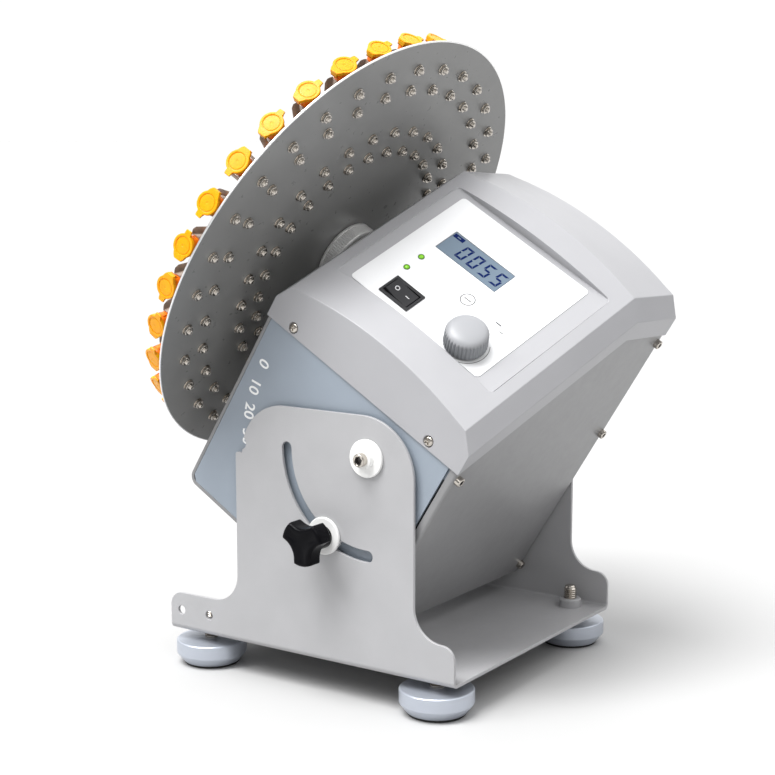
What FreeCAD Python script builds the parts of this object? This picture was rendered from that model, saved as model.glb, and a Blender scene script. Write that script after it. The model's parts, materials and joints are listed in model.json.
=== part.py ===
import FreeCAD, Part
import Sketcher
import math
import os
from FreeCAD import Placement, Rotation, Vector

# A tilting disc tube rotator. A bent bracket on four feet carries a head that tilts about a pivot between
# its side plates. The head holds a gear motor, whose shaft turns a disc of tubes in spring clips.
# Frame: +Z up, the user in front at -Y, the disc to the left at -X. The origin is the middle of the
# object's box, on the surface that it stands on. The model is drawn at a tilt partway along its scale.

doc = FreeCAD.newDocument("disc_rotator")
sheet = doc.addObject("Spreadsheet::Sheet", "sizes")

SIZES = [
    # Bent bracket
    ("bracket_mid", -8.85, "bracket's middle along X"),
    ("bracket_length", 194.0, "bracket along X"),
    ("bracket_width", 178.0, "over the side plates along Y"),
    ("gauge", 2.0, "bracket sheet"),
    ("bend_radius", 3.6, "outside of the bracket's bends"),
    ("floor_gap", 20.0, "surface to the bracket's underside"),
    ("ear_top", 42.5, "height of the low ears"),
    ("ear_corner", 8.0, "rounding of the ears"),
    ("neck_sweep", 17.0, "hollow curve from ear to neck"),
    ("neck_left", -47.0, "left edge of the side plate's neck"),
    ("neck_right", 71.7, "right edge of the side plate's neck"),
    ("ledge_height", 130.4, "ledge under the pointer notch"),
    ("crown_left", -42.3, "left edge of the plate's rounded top"),
    ("plate_top", 159.3, "top of the side plates"),
    ("crown_round", 28.5, "rounding at the top left"),
    ("shoulder_round", 33.0, "rounding at the top right"),
    ("notch_radius", 3.8, "pointer notch"),
    ("pivot_along", 42.5, "pivot from the bracket's middle"),
    ("pivot_height", 136.7, "pivot above the surface"),
    ("slot_radius", 53.5, "tilt slot's centre line about the pivot"),
    ("slot_width", 6.4, "tilt slot"),
    ("ear_hole", 2.6, "radius of the ear holes"),
    ("ear_hole_outer", 89.0, "outer ear hole from the middle"),
    ("ear_hole_inner", 68.4, "inner ear hole from the middle"),
    ("ear_hole_height", 32.1, "ear holes above the surface"),
    # Feet
    ("foot_along", 78.0, "feet from the middle along X"),
    ("foot_across", 75.5, "feet from the middle along Y"),
    ("foot_radius", 20.4, "aluminium foot"),
    ("foot_height", 14.4, "top of the foot"),
    ("pad_radius", 16.4, "rubber pad"),
    ("pad_height", 1.4, "rubber pad"),
    ("stud_radius", 3.9, "foot stud"),
    ("stud_top", 35.0, "top of the foot stud"),
    ("boss_radius", 6.6, "threaded boss on the bracket"),
    ("boss_height", 5.2, "threaded boss"),
    # Tilting head, in its own frame: X along the shaft away from the disc, Z square to it, pivot at zero
    ("tilt", 31.5, "tilt at rest in degrees"),
    ("head_left", -95.0, "disc side of the head"),
    ("head_right", 47.0, "far end of the head"),
    ("head_floor", -90.0, "underside of the head"),
    ("head_width", 169.6, "over the cheeks along Y"),
    ("head_gauge", 2.0, "sheet of the head's panels"),
    ("head_round", 6.0, "bend under the disc side"),
    ("cheek_right", 41.0, "far edge of the cheeks"),
    ("seam_front", 25.0, "height of the cover seam at the front"),
    ("ridge_across", 31.0, "cover's ridge along Y"),
    ("deck_slope", 31.0, "slope of the control deck in degrees"),
    ("rear_fall", 3.4, "slope behind the ridge in degrees"),
    # Cover
    ("cover_width", 171.6, "cover along Y"),
    ("cover_left", -96.0, "cover's disc side"),
    ("cover_right", 48.0, "cover's far end"),
    ("cover_wall", 2.8, "cover's wall"),
    ("skirt_height", 12.3, "upright skirt above the seam"),
    ("edge_height", 22.6, "top of the end bevels above the seam"),
    ("border_height", 24.0, "top of the flat borders above the seam"),
    ("crown_height", 30.6, "crown of the arch above the seam"),
    ("bevel_left", 6.2, "bevel at the disc side"),
    ("bevel_right", 8.8, "bevel at the far end"),
    ("border_width", 7.0, "flat border beside the arch"),
    ("deck_height", 23.2, "sunk control deck above the seam"),
    ("deck_near", 26.5, "deck's near edge up the slope"),
    ("deck_far", 123.4, "deck's far edge up the slope"),
    # Controls on the deck, along the shaft and up the slope from the front edge
    ("label_left", -74.6, "white label"),
    ("label_right", 20.2, "white label"),
    ("label_near", 29.0, "white label"),
    ("label_far", 119.8, "white label"),
    ("label_gauge", 0.4, "white label"),
    ("display_along", -36.7, "display's middle"),
    ("display_up", 88.5, "display's middle"),
    ("display_length", 44.4, "display window"),
    ("display_width", 17.2, "display window"),
    ("switch_along", -46.6, "rocker switch's middle"),
    ("switch_up", 40.7, "rocker switch's middle"),
    ("switch_length", 21.0, "switch bezel"),
    ("switch_width", 15.0, "switch bezel"),
    ("bezel_height", 0.9, "switch bezel above the label"),
    ("rocker_axis", -0.7, "rocker's pins above the label"),
    ("led_along", -58.5, "indicator lamps"),
    ("led_near", 56.6, "first lamp up the slope"),
    ("led_far", 68.1, "second lamp up the slope"),
    ("led_radius", 1.6, "indicator lamps"),
    ("knob_along", 0.2, "speed knob's middle"),
    ("knob_up", 40.9, "speed knob's middle"),
    ("knob_radius", 12.1, "speed knob's skirt"),
    ("knob_height", 13.0, "speed knob above the label"),
    ("rocker_length", 16.0, "rocker along the shaft"),
    ("rocker_width", 10.4, "rocker up the slope"),
    ("rocker_swing", 20.0, "rocker from off to on in degrees"),
    ("board_depth", 12.4, "control board's top under the deck"),
    ("board_left", -72.0, "control board"),
    ("board_right", 18.0, "control board"),
    ("board_near", 30.0, "control board"),
    ("board_far", 118.0, "control board"),
    # Disc and tubes, in the rotor's frame: Z along the shaft away from the head
    ("disc_along", -119.0, "disc's inner face in the head's frame"),
    ("shaft_height", 44.0, "shaft in the head's frame"),
    ("disc_radius", 140.0, "disc"),
    ("disc_gauge", 1.2, "disc"),
    ("clip_length", 25.0, "clip along the radius"),
    ("clip_pitch", 13.0, "between a clip's two screws"),
    ("outer_screws", 110.0, "inner screw circle of the outer clips"),
    ("inner_screws", 70.0, "inner screw circle of the inner clips"),
    ("outer_count", 32, "outer clips"),
    ("inner_count", 28, "inner clips"),
    ("outer_phase", 2.8, "first outer clip in degrees"),
    ("inner_phase", 5.0, "first inner clip in degrees"),
    ("tube_height", 10.0, "tube's axis above the disc's outer face"),
    ("tube_length", 39.0, "tube from tip to cap"),
    ("tube_radius", 5.3, "tube under its lip"),
    ("hub_radius", 21.0, "hub collar"),
    ("hub_length", 10.6, "hub collar"),
    ("shaft_radius", 5.0, "drive shaft"),
    ("inlet_along", 12.0, "power inlet in the head's frame"),
    ("inlet_up", 58.0, "power inlet in the head's frame"),
    ("inlet_radius", 5.5, "power inlet's threaded barrel"),
    # Hardware at the side plates
    ("washer_radius", 10.3, "white washers"),
    ("shoulder_radius", 2.5, "pivot screw's shoulder and clamp stud"),
    ("star_radius", 12.7, "three-lobed clamp knob"),
    ("star_reach", 11.0, "three-lobed clamp knob's back in front of the plate"),
]
for row, (alias, value, note) in enumerate(SIZES, 1):
    sheet.set("A%d" % row, note)
    sheet.set("B%d" % row, str(value))
    sheet.setAlias("B%d" % row, alias)
doc.recompute()


def size(expression):
    """The value of an expression in the sheet's aliases, each written with a leading @."""
    return float(sheet.evalExpression(named(expression)))


def named(expression):
    return str(expression).replace("@", "sizes.")


def bind(thing, **sizes):
    """Ties properties of a primitive to expressions."""
    for name, expression in sizes.items():
        thing.setExpression(name, named(expression))


# ---------------------------------------------------------------------------------------------------------
# Sketched and turned pieces


def sketch_lines(body, name, plane, corners):
    """A closed outline whose corners are each tied to the sheet by their two distances."""
    sketch = body.newObject("Sketcher::SketchObject", name)
    support = [item for item in body.Origin.OriginFeatures if item.Role == plane][0]
    sketch.AttachmentSupport = [(support, "")]
    sketch.MapMode = "FlatFace"
    points = [Vector(size(across), size(up), 0) for across, up in corners]
    count = len(points)
    for index in range(count):
        sketch.addGeometry(Part.LineSegment(points[index], points[(index + 1) % count]))
    for index in range(count):
        sketch.addConstraint(Sketcher.Constraint("Coincident", index, 2, (index + 1) % count, 1))
    for index, corner in enumerate(corners):
        for kind, axis, coordinate, expression in zip(
                ("DistanceX", "DistanceY"), (-2, -1), points[index], corner):
            if abs(coordinate) < 1e-9:
                sketch.addConstraint(Sketcher.Constraint("PointOnObject", index, 1, axis))
            else:
                tie = sketch.addConstraint(Sketcher.Constraint(kind, -1, 1, index, 1, coordinate))
                sketch.setExpression("Constraints[%d]" % tie, named(expression))
    return sketch


def sketch_circles(body, name, plane, circles):
    """Circles given as across, up and radius, all tied to the sheet."""
    sketch = body.newObject("Sketcher::SketchObject", name)
    support = [item for item in body.Origin.OriginFeatures if item.Role == plane][0]
    sketch.AttachmentSupport = [(support, "")]
    sketch.MapMode = "FlatFace"
    for index, circle in enumerate(circles):
        across, up, radius = [size(expression) for expression in circle]
        sketch.addGeometry(Part.Circle(Vector(across, up, 0), Vector(0, 0, 1), radius))
        ties = [("DistanceX", across, circle[0], -2), ("DistanceY", up, circle[1], -1)]
        for kind, coordinate, expression, axis in ties:
            if abs(coordinate) < 1e-9:
                sketch.addConstraint(Sketcher.Constraint("PointOnObject", index, 3, axis))
            else:
                tie = sketch.addConstraint(Sketcher.Constraint(kind, -1, 1, index, 3, coordinate))
                sketch.setExpression("Constraints[%d]" % tie, named(expression))
        tie = sketch.addConstraint(Sketcher.Constraint("Radius", index, radius))
        sketch.setExpression("Constraints[%d]" % tie, named(circle[2]))
    return sketch


def pad(body, sketch, length, symmetric=False):
    feature = body.newObject("PartDesign::Pad", sketch.Name + "_pad")
    feature.Profile = sketch
    feature.SideType = "Symmetric" if symmetric else "One side"
    feature.setExpression("Length", named(length))
    sketch.Visibility = False
    return feature


def pocket(body, sketch, length, reverse=False):
    """Cuts a sketch out of the body and checks that it removed something."""
    doc.recompute()
    before = body.Shape.Volume
    feature = body.newObject("PartDesign::Pocket", sketch.Name + "_cut")
    feature.Profile = sketch
    feature.Reversed = reverse
    feature.setExpression("Length", named(length))
    doc.recompute()
    if body.Shape.Volume > before - 1e-6:
        raise RuntimeError(feature.Name + " cuts nothing")
    return feature


def repeat_about_z(body, feature, count):
    pattern = body.newObject("PartDesign::PolarPattern", feature.Name + "_ring")
    pattern.Originals = [feature]
    pattern.Axis = ([item for item in body.Origin.OriginFeatures if item.Role == "Z_Axis"][0], [""])
    pattern.Angle = 360
    pattern.setExpression("Occurrences", named(count))
    body.Tip = pattern
    doc.recompute()
    return pattern


def round_edges(body, feature, plane, corners, radius):
    """Fillets the straight edges that stand on the given corners of a sketch plane."""
    away = {"XY_Plane": 2, "XZ_Plane": 1, "YZ_Plane": 0}[plane]
    flat = [axis for axis in range(3) if axis != away]
    places = [(size(across), size(up)) for across, up in corners]
    doc.recompute()
    names = []
    for number, edge in enumerate(feature.Shape.Edges, 1):
        first, last = edge.Vertexes[0].Point, edge.Vertexes[-1].Point
        if abs(last[away] - first[away]) < 1e-6 or abs(abs(last[away] - first[away]) - edge.Length) > 1e-6:
            continue
        for place in places:
            if math.hypot(first[flat[0]] - place[0], first[flat[1]] - place[1]) < 1e-5:
                names.append("Edge%d" % number)
    if len(names) < len(places):
        raise RuntimeError(body.Name + " has too few edges to round")
    fillet = body.newObject("PartDesign::Fillet", "%s_round%d" % (body.Name, len(body.Group)))
    fillet.Base = (feature, names)
    fillet.setExpression("Radius", named(radius))
    doc.recompute()
    return fillet


def sheet_metal(name, plane, corners, length, symmetric=True):
    """A body with one padded outline."""
    body = doc.addObject("PartDesign::Body", name)
    pad(body, sketch_lines(body, name + "_outline", plane, corners), length, symmetric)
    doc.recompute()
    return body


def turned(name, profile):
    """A body turned about its own Z axis from radius and height pairs."""
    body = doc.addObject("PartDesign::Body", name)
    sketch = sketch_lines(body, name + "_profile", "XZ_Plane", profile)
    feature = body.newObject("PartDesign::Revolution", name + "_turn")
    feature.Profile = sketch
    feature.ReferenceAxis = (sketch, ["V_Axis"])
    feature.Angle = 360
    sketch.Visibility = False
    doc.recompute()
    return body


def block(name, length, width, height, place=None):
    """A box standing on the middle of its own base, at a place."""
    box = doc.addObject("Part::Box", name)
    bind(box, Length=length, Width=width, Height=height)
    corner = Placement(Vector(-size(length) / 2, -size(width) / 2, 0), UPRIGHT)
    box.Placement = (place or Placement()).multiply(corner)
    return box


def rod(name, radius, length, place=None):
    cylinder = doc.addObject("Part::Cylinder", name)
    bind(cylinder, Radius=radius, Height=length)
    cylinder.Placement = place or Placement()
    return cylinder


def fuse(name, pieces):
    joined = doc.addObject("Part::MultiFuse", name)
    joined.Shapes = pieces
    return joined


def cut(name, base, tools):
    """Base without its tools."""
    tool = tools[0] if len(tools) == 1 else fuse(name + "_tools", tools)
    result = doc.addObject("Part::Cut", name)
    result.Base = base
    result.Tool = tool
    doc.recompute()
    if result.Shape.Volume > base.Shape.Volume - 1e-6:
        raise RuntimeError(name + " is not cut")
    return result


def shared(name, base, tool):
    result = doc.addObject("Part::Common", name)
    result.Base = base
    result.Tool = tool
    return result


# ---------------------------------------------------------------------------------------------------------
# Frames

TOWARDS_FRONT = Rotation(Vector(0, 0, 1), Vector(0, -1, 0))
TOWARDS_REAR = Rotation(Vector(0, 0, 1), Vector(0, 1, 0))
ALONG_SHAFT = Rotation(Vector(0, 0, 1), Vector(1, 0, 0))
UPRIGHT = Rotation()

PIVOT = Vector(size("@bracket_mid + @pivot_along"), 0, size("@pivot_height"))
HEAD = Placement(PIVOT, Rotation(Vector(0, 1, 0), size("@tilt")))
SLOPE = size("@deck_slope")
HALF_COVER = size("@cover_width / 2")

# The deck's frame: X along the shaft, Y up the slope from the cover's front edge, Z out of the deck
DECK = HEAD.multiply(Placement(
    Vector(0, -HALF_COVER, size("@seam_front + @deck_height")), Rotation(Vector(1, 0, 0), SLOPE)))

# The rotor's frame: Z along the shaft away from the head, X up the head, at the disc's inner face
ROTOR = HEAD.multiply(Placement(
    Vector(size("@disc_along"), 0, size("@shaft_height")), Rotation(Vector(0, 1, 0), -90)))


def in_head(along, across, up, turn=UPRIGHT):
    return HEAD.multiply(Placement(Vector(size(along), size(across), size(up)), turn))


def on_deck(along, up_slope, out=0, turn=UPRIGHT):
    return DECK.multiply(Placement(Vector(size(along), size(up_slope), size(out)), turn))


NODES = []


def node(thing, name, place=None):
    """Names a finished sub-part and puts it in its place in the object."""
    thing.Label = name
    if place is not None:
        thing.Placement = place.multiply(thing.Placement)
    NODES.append(thing)
    return thing


def group(name, form, places):
    """One node of identical solids, each a copy of the form in its own place."""
    doc.recompute()
    copies = []
    for place in places:
        copy = form.Shape.copy()
        copy.Placement = place.multiply(form.Placement)
        copies.append(copy)
    feature = doc.addObject("Part::Feature", name)
    feature.Shape = Part.makeCompound(copies)
    form.Visibility = False
    return node(feature, name)


# ---------------------------------------------------------------------------------------------------------
# Bracket and feet


def make_bracket():
    """A U of bent sheet, with side plates cut to a neck between low ears."""
    half = "@bracket_width / 2"
    inside = "@bracket_width / 2 - @gauge"
    top = "@plate_top + 5"
    base = "@floor_gap"
    deck = "@floor_gap + @gauge"
    u_outline = [("-" + half, base), (half, base), (half, top), (inside, top), (inside, deck),
                 ("-(%s)" % inside, deck), ("-(%s)" % inside, top), ("-" + half, top)]
    channel = sheet_metal("bracket_channel", "YZ_Plane", u_outline, "@bracket_length")
    bends = round_edges(channel, channel.Tip, "YZ_Plane", [u_outline[0], u_outline[1]], "@bend_radius")
    round_edges(channel, bends, "YZ_Plane", [u_outline[4], u_outline[5]], "@bend_radius - @gauge")

    end = "@bracket_length / 2"
    plate = [("-" + end, base), ("-" + end, "@ear_top"), ("@neck_left", "@ear_top"),
             ("@neck_left", "@ledge_height"), ("@crown_left", "@ledge_height"), ("@crown_left", "@plate_top"),
             ("@neck_right", "@plate_top"), ("@neck_right", "@ear_top"), (end, "@ear_top"), (end, base)]
    outline = sheet_metal("bracket_outline", "XZ_Plane", plate, "@bracket_width + 10")
    step = round_edges(outline, outline.Tip, "XZ_Plane", [plate[1], plate[8]], "@ear_corner")
    step = round_edges(outline, step, "XZ_Plane", [plate[2], plate[7]], "@neck_sweep")
    step = round_edges(outline, step, "XZ_Plane", [plate[3]], "1.5")
    step = round_edges(outline, step, "XZ_Plane", [plate[5]], "@crown_round")
    round_edges(outline, step, "XZ_Plane", [plate[6]], "@shoulder_round")

    through = "@bracket_width + 20"
    start = size("@bracket_width / 2 + 10")
    pivot_along = size("@pivot_along")
    pivot_up = size("@pivot_height")
    notch_out = size("@crown_left - 1")
    ear_up = size("@ear_hole_height")
    cuts = [
        rod("notch_cut", "@notch_radius", through,
            Placement(Vector(notch_out, start, pivot_up - 0.8), TOWARDS_FRONT)),
        rod("pivot_hole_cut", "6.0", through, Placement(Vector(pivot_along, start, pivot_up), TOWARDS_FRONT)),
        make_slot_cut(pivot_along, pivot_up),
    ]
    for index, along in enumerate(("@ear_hole_outer", "@ear_hole_inner")):
        place = Placement(Vector(-size(along), start, ear_up), TOWARDS_FRONT)
        cuts.append(rod("ear_hole_cut%d" % index, "@ear_hole", through, place))
    for index, (side, depth) in enumerate(foot_corners()):
        corner = Vector(side * size("@foot_along"), depth * size("@foot_across"), 0)
        place = Placement(corner, UPRIGHT)
        cuts.append(rod("foot_hole_cut%d" % index, "@boss_radius - 1.4", "@floor_gap + 20", place))
    blank = shared("bracket_blank", channel, outline)
    doc.recompute()
    bracket = cut("bracket", blank, cuts)
    node(bracket, "base_bracket", Placement(Vector(size("@bracket_mid"), 0, 0), UPRIGHT))


def make_slot_cut(along, up):
    """A quarter-ring slot through the front plate, from level with the pivot to straight below it."""
    front = -size("@bracket_width / 2")
    depth = "@gauge * 3"
    outer = rod("slot_outer", "@slot_radius + @slot_width / 2", depth)
    inner = rod("slot_inner", "@slot_radius - @slot_width / 2", depth)
    outer.Angle = 90
    ring = cut("slot_ring", outer, [inner])
    ends = []
    for index, angle in enumerate((0, 90)):
        spot = Rotation(Vector(0, 0, 1), angle).multVec(Vector(size("@slot_radius"), 0, 0))
        ends.append(rod("slot_end%d" % index, "@slot_width / 2", depth, Placement(spot, UPRIGHT)))
    slot = fuse("slot_cut", [ring] + ends)
    # Turned so that the quarter ring runs from -X round to -Z, seen from the front
    towards = Rotation(Vector(-1, 0, 0), Vector(0, 0, -1), Vector(0, -1, 0), "XYZ")
    slot.Placement = Placement(Vector(along, front + size("2 * @gauge"), up), towards)
    return slot


def foot_corners():
    return [(side, depth) for depth in (-1, 1) for side in (-1, 1)]


def make_feet():
    """Aluminium feet on threaded studs, screwed through bosses in the bracket's floor."""
    boss = turned("boss_form", [
        ("@stud_radius + 0.06", "-@gauge"), ("@boss_radius - 1.5", "-@gauge"), ("@boss_radius - 1.5", "0"),
        ("@boss_radius", "0"), ("@boss_radius", "@boss_height - 0.7"), ("@boss_radius - 0.7", "@boss_height"),
        ("@stud_radius + 0.06", "@boss_height")])
    names = {(-1, -1): "front_left", (1, -1): "front_right", (-1, 1): "rear_left", (1, 1): "rear_right"}
    mid = size("@bracket_mid")
    corners = {}
    for side, depth in foot_corners():
        corners[side, depth] = Vector(mid + side * size("@foot_along"), depth * size("@foot_across"), 0)
    lift = Vector(0, 0, size("@floor_gap + @gauge"))
    group("foot_bosses", boss, [Placement(corner + lift, UPRIGHT) for corner in corners.values()])
    for key, corner in corners.items():
        foot = turned("foot_" + names[key], [
            ("0", "@pad_height"), ("@pad_radius", "@pad_height"), ("@foot_radius", "@pad_height + 5.2"),
            ("@foot_radius", "@foot_height - 1"), ("@foot_radius - 1", "@foot_height"),
            ("@stud_radius + 2.4", "@foot_height + 0.5"), ("@stud_radius", "@foot_height + 0.5"),
            ("@stud_radius", "@stud_top - 0.8"), ("@stud_radius - 0.8", "@stud_top"), ("0", "@stud_top")])
        node(foot, "foot_" + names[key], Placement(corner, UPRIGHT))
        rubber = turned("pad_" + names[key], [
            ("0", "0"), ("@pad_radius - 1", "0"), ("@pad_radius - 0.3", "0.7"),
            ("@pad_radius - 0.3", "@pad_height"), ("0", "@pad_height")])
        node(rubber, "foot_pad_" + names[key], Placement(corner, UPRIGHT))


# ---------------------------------------------------------------------------------------------------------
# Pivot and clamp at the side plates, each drawn with zero at the plate's outer face


def at_plate(rotation, along="0", up="0"):
    """A place on a side plate's outer face, in the head's frame."""
    face = -size("@bracket_width / 2") if rotation == TOWARDS_FRONT else size("@bracket_width / 2")
    return HEAD.multiply(Placement(Vector(size(along), face, size(up)), rotation))


def make_pivots():
    cheek_face = "-(@bracket_width - @head_width) / 2"
    plate_inner = "-@gauge"
    both = [at_plate(TOWARDS_FRONT), at_plate(TOWARDS_REAR)]
    bush = turned("bush_form", [
        ("@shoulder_radius + 0.05", plate_inner), ("5.9", plate_inner), ("5.9", "0"),
        ("@washer_radius - 0.4", "0"), ("@washer_radius", "0.4"), ("@washer_radius", "1.6"),
        ("@washer_radius - 0.4", "2"), ("5.4", "2"), ("5.1", "5"), ("@shoulder_radius + 0.05", "5")])
    group("pivot_bushes", bush, both)

    screw = turned("pivot_screw_form", [
        ("0", cheek_face + " - 10"), ("2", cheek_face + " - 10"), ("2", cheek_face),
        ("@shoulder_radius", cheek_face), ("@shoulder_radius", "5"), ("3.6", "5"), ("3.6", "8.2"),
        ("3.2", "8.6"), ("0", "8.6")])
    socket_sketch = sketch_lines(screw, "pivot_socket", "XY_Plane", hexagon(1.6))
    socket_sketch.AttachmentOffset = Placement(Vector(0, 0, 8.6), UPRIGHT)
    doc.recompute()
    pocket(screw, socket_sketch, "2.2")
    group("pivot_screws", screw, both)

    spacer = turned("spacer_form", [
        ("@shoulder_radius + 0.2", cheek_face + " + 0.05"), ("9", cheek_face + " + 0.05"),
        ("9", "-@gauge - 0.1"), ("@shoulder_radius + 0.2", "-@gauge - 0.1")])
    group("plate_spacers", spacer, both + [at_plate(TOWARDS_FRONT, up="-@slot_radius")])

    anchor = turned("anchor_form", [
        ("2.05", cheek_face + " - 12"), ("11", cheek_face + " - 12"), ("11", cheek_face + " - @head_gauge"),
        ("2.05", cheek_face + " - @head_gauge")])
    group("pivot_anchors", anchor, both)


def hexagon(inner_radius):
    """The corners of a hexagon by the radius of its inscribed circle."""
    corner = inner_radius / math.cos(math.radians(30))
    angles = [math.radians(30 + 60 * index) for index in range(6)]
    return [("%.6f" % (corner * math.cos(angle)), "%.6f" % (corner * math.sin(angle))) for angle in angles]


def make_clamp():
    """A stud in the front cheek, with a white washer and a black three-lobed knob in front of the slot."""
    cheek_face = "-(@bracket_width - @head_width) / 2"
    place = at_plate(TOWARDS_FRONT, up="-@slot_radius")
    stud = turned("clamp_stud", [
        ("0", cheek_face + " - 8"), ("5.5", cheek_face + " - 8"), ("5.5", cheek_face + " - @head_gauge"),
        ("@shoulder_radius", cheek_face + " - @head_gauge"), ("@shoulder_radius", "@star_reach + 4.2"),
        ("@shoulder_radius - 0.5", "@star_reach + 4.7"), ("0", "@star_reach + 4.7")])
    node(stud, "clamp_stud", place)
    washer = turned("clamp_washer", [
        ("@shoulder_radius + 0.2", "0.1"), ("@washer_radius - 0.4", "0.1"), ("@washer_radius", "0.5"),
        ("@washer_radius", "1.7"), ("@washer_radius - 0.4", "2.1"), ("@shoulder_radius + 0.2", "2.1")])
    node(washer, "clamp_washer", place)

    knob = doc.addObject("PartDesign::Body", "clamp_star")
    pad(knob, sketch_circles(knob, "star_disc", "XY_Plane", [("0", "0", "@star_radius")]), "11")
    hollow = [("@star_radius * 1.46", "0", "@star_radius * 0.85")]
    scallop = sketch_circles(knob, "star_scallop", "XY_Plane", hollow)
    doc.recompute()
    bite = pocket(knob, scallop, "12", reverse=True)
    pattern = repeat_about_z(knob, bite, "3")
    edges = ["Edge%d" % number for number, edge in enumerate(pattern.Shape.Edges, 1)]
    rounded = knob.newObject("PartDesign::Fillet", "star_round")
    rounded.Base = (pattern, edges)
    rounded.Radius = 1.4
    doc.recompute()
    neck_end = Placement(Vector(0, 0, -size("@star_reach - 2.3")), UPRIGHT)
    neck = rod("star_neck", "6.4", "@star_reach - 0.3", neck_end)
    bore = rod("star_bore", "@shoulder_radius + 0.05", "@star_reach + 3.2", neck_end)
    whole = fuse("star_whole", [knob, neck])
    doc.recompute()
    star = cut("star", whole, [bore])
    one_lobe_down = Rotation(Vector(0, 0, 1), size("@tilt - 30"))
    node(star, "clamp_knob", place.multiply(Placement(Vector(0, 0, size("@star_reach")), one_lobe_down)))


# ---------------------------------------------------------------------------------------------------------
# Head panels and cover

HALF_HEAD = "@head_width / 2"
COVER_SCREWS = ["@cover_left + 18.6", "@cover_right - 23.8"]
PANEL_SCREWS = [(-1, "@seam_front - 4.5"), (-1, "@head_floor + 7"), (1, "@seam_front - 4.5"),
                (1, "@head_floor + 7"), (1, "@seam_front + 61.5")]
PANEL_SCREW_ACROSS = "@head_width / 2 - 3.9"


def seam_height(across):
    """Height of the cover seam in the head's frame at a place along Y."""
    front = -size("@cover_width / 2")
    ridge = size("@ridge_across")
    rise = size("@seam_front") + (min(across, ridge) - front) * math.tan(math.radians(SLOPE))
    fall = max(0, across - ridge) * math.tan(math.radians(size("@rear_fall")))
    return rise - fall


def seam_solid(name, clearance):
    """Everything under the seam: a prism along the shaft whose top follows the seam's ridge."""
    low = size("@head_floor") - 20
    half = size("@cover_width") / 2 + 5
    ridge = size("@ridge_across")
    start = size("@cover_left") - 10
    corners = [Vector(start, -half, low), Vector(start, half, low)]
    for across in (half, ridge, -half):
        corners.append(Vector(start, across, seam_height(across) - clearance))
    prism = doc.addObject("Part::Feature", name)
    face = Part.Face(Part.makePolygon(corners + corners[:1]))
    prism.Shape = face.extrude(Vector(size("@cover_right") + 20 - start, 0, 0))
    return prism


def make_cheeks():
    """The head's two sides, with welded tabs for the cover's screws and blocks for the end panel's."""
    rear_top = "%.6f" % seam_height(size("@head_width / 2"))
    for name, top, depth in (("cheek_front", "@seam_front", -1), ("cheek_rear", rear_top, 1)):
        left = "@head_left + @head_gauge + 0.1"
        floor = "@head_floor + @head_gauge + 0.1"
        right = "@cheek_right"
        outline = [(left, floor + " + 3.2"), (left + " + 3.2", floor), (right, floor),
                   (right, top + " - 0.2"), (left, top + " - 0.2")]
        plate = sheet_metal(name + "_plate", "XZ_Plane", outline, "@head_gauge")
        plate.Placement = Placement(Vector(0, depth * size("(@head_width - @head_gauge) / 2"), 0), UPRIGHT)
        pieces = [plate]
        inner = depth * (size("@head_width / 2 - @head_gauge") - 1)
        for index, along in enumerate(COVER_SCREWS):
            spot = Placement(Vector(size(along), inner, screw_height(depth) - 12), UPRIGHT)
            pieces.append(block("%s_tab%d" % (name, index), "12", "2.05", "17", spot))
        for index, (side, up) in enumerate(PANEL_SCREWS):
            if side == depth:
                across = depth * size("@head_width / 2 - 4.7")
                spot = Vector(size("@head_right") - 7.1, across, size(up) - 3.9)
                pieces.append(block("%s_block%d" % (name, index), "10", "6", "7.8", Placement(spot, UPRIGHT)))
        across = Vector(0, depth * (size("@head_width / 2") + 5), 0)
        inward = TOWARDS_FRONT if depth > 0 else TOWARDS_REAR
        holes = [rod(name + "_pivot", "2.05", "20", Placement(across, inward))]
        if depth < 0:
            stud = across + Vector(0, 0, -size("@slot_radius"))
            holes.append(rod(name + "_stud", "@shoulder_radius + 0.05", "20", Placement(stud, inward)))
        else:
            inlet = across + Vector(size("@inlet_along"), 0, size("@inlet_up"))
            holes.append(rod(name + "_inlet", "@inlet_radius + 0.1", "20", Placement(inlet, inward)))
        for index, along in enumerate(COVER_SCREWS):
            spot = across + Vector(size(along), 0, screw_height(depth))
            holes.append(rod("%s_tap%d" % (name, index), "1.55", "20", Placement(spot, inward)))
        for index, (side, up) in enumerate(PANEL_SCREWS):
            if side == depth:
                spot = Vector(size("@head_right") - 20, depth * size(PANEL_SCREW_ACROSS), size(up))
                holes.append(rod("%s_thread%d" % (name, index), "1.55", "30", Placement(spot, ALONG_SHAFT)))
        whole = fuse(name + "_whole", pieces)
        doc.recompute()
        node(cut(name, whole, holes), name, HEAD)


def make_wrap():
    """One bent sheet: the wall behind the disc and the floor of the head."""
    under = seam_solid("under_seam", 0.2)
    left, floor = "@head_left", "@head_floor"
    inner_left, inner_floor = "@head_left + @head_gauge", "@head_floor + @head_gauge"
    stop = "@head_right - 4.9"
    corners = [(left, floor), (stop, floor), (stop, inner_floor), (inner_left, inner_floor),
               (inner_left, "110"), (left, "110")]
    sheet_body = sheet_metal("wrap_sheet", "XZ_Plane", corners, "@head_width")
    outer = round_edges(sheet_body, sheet_body.Tip, "XZ_Plane", [corners[0]], "@head_round")
    round_edges(sheet_body, outer, "XZ_Plane", [corners[3]], "@head_round - @head_gauge")
    trimmed = shared("wrap_trimmed", sheet_body, under)
    doc.recompute()
    spot = Vector(size(left) - 5, 0, size("@shaft_height"))
    opening = rod("shaft_opening", "8", "20", Placement(spot, ALONG_SHAFT))
    node(cut("head_wrap", trimmed, [opening]), "head_wrap", HEAD)


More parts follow.
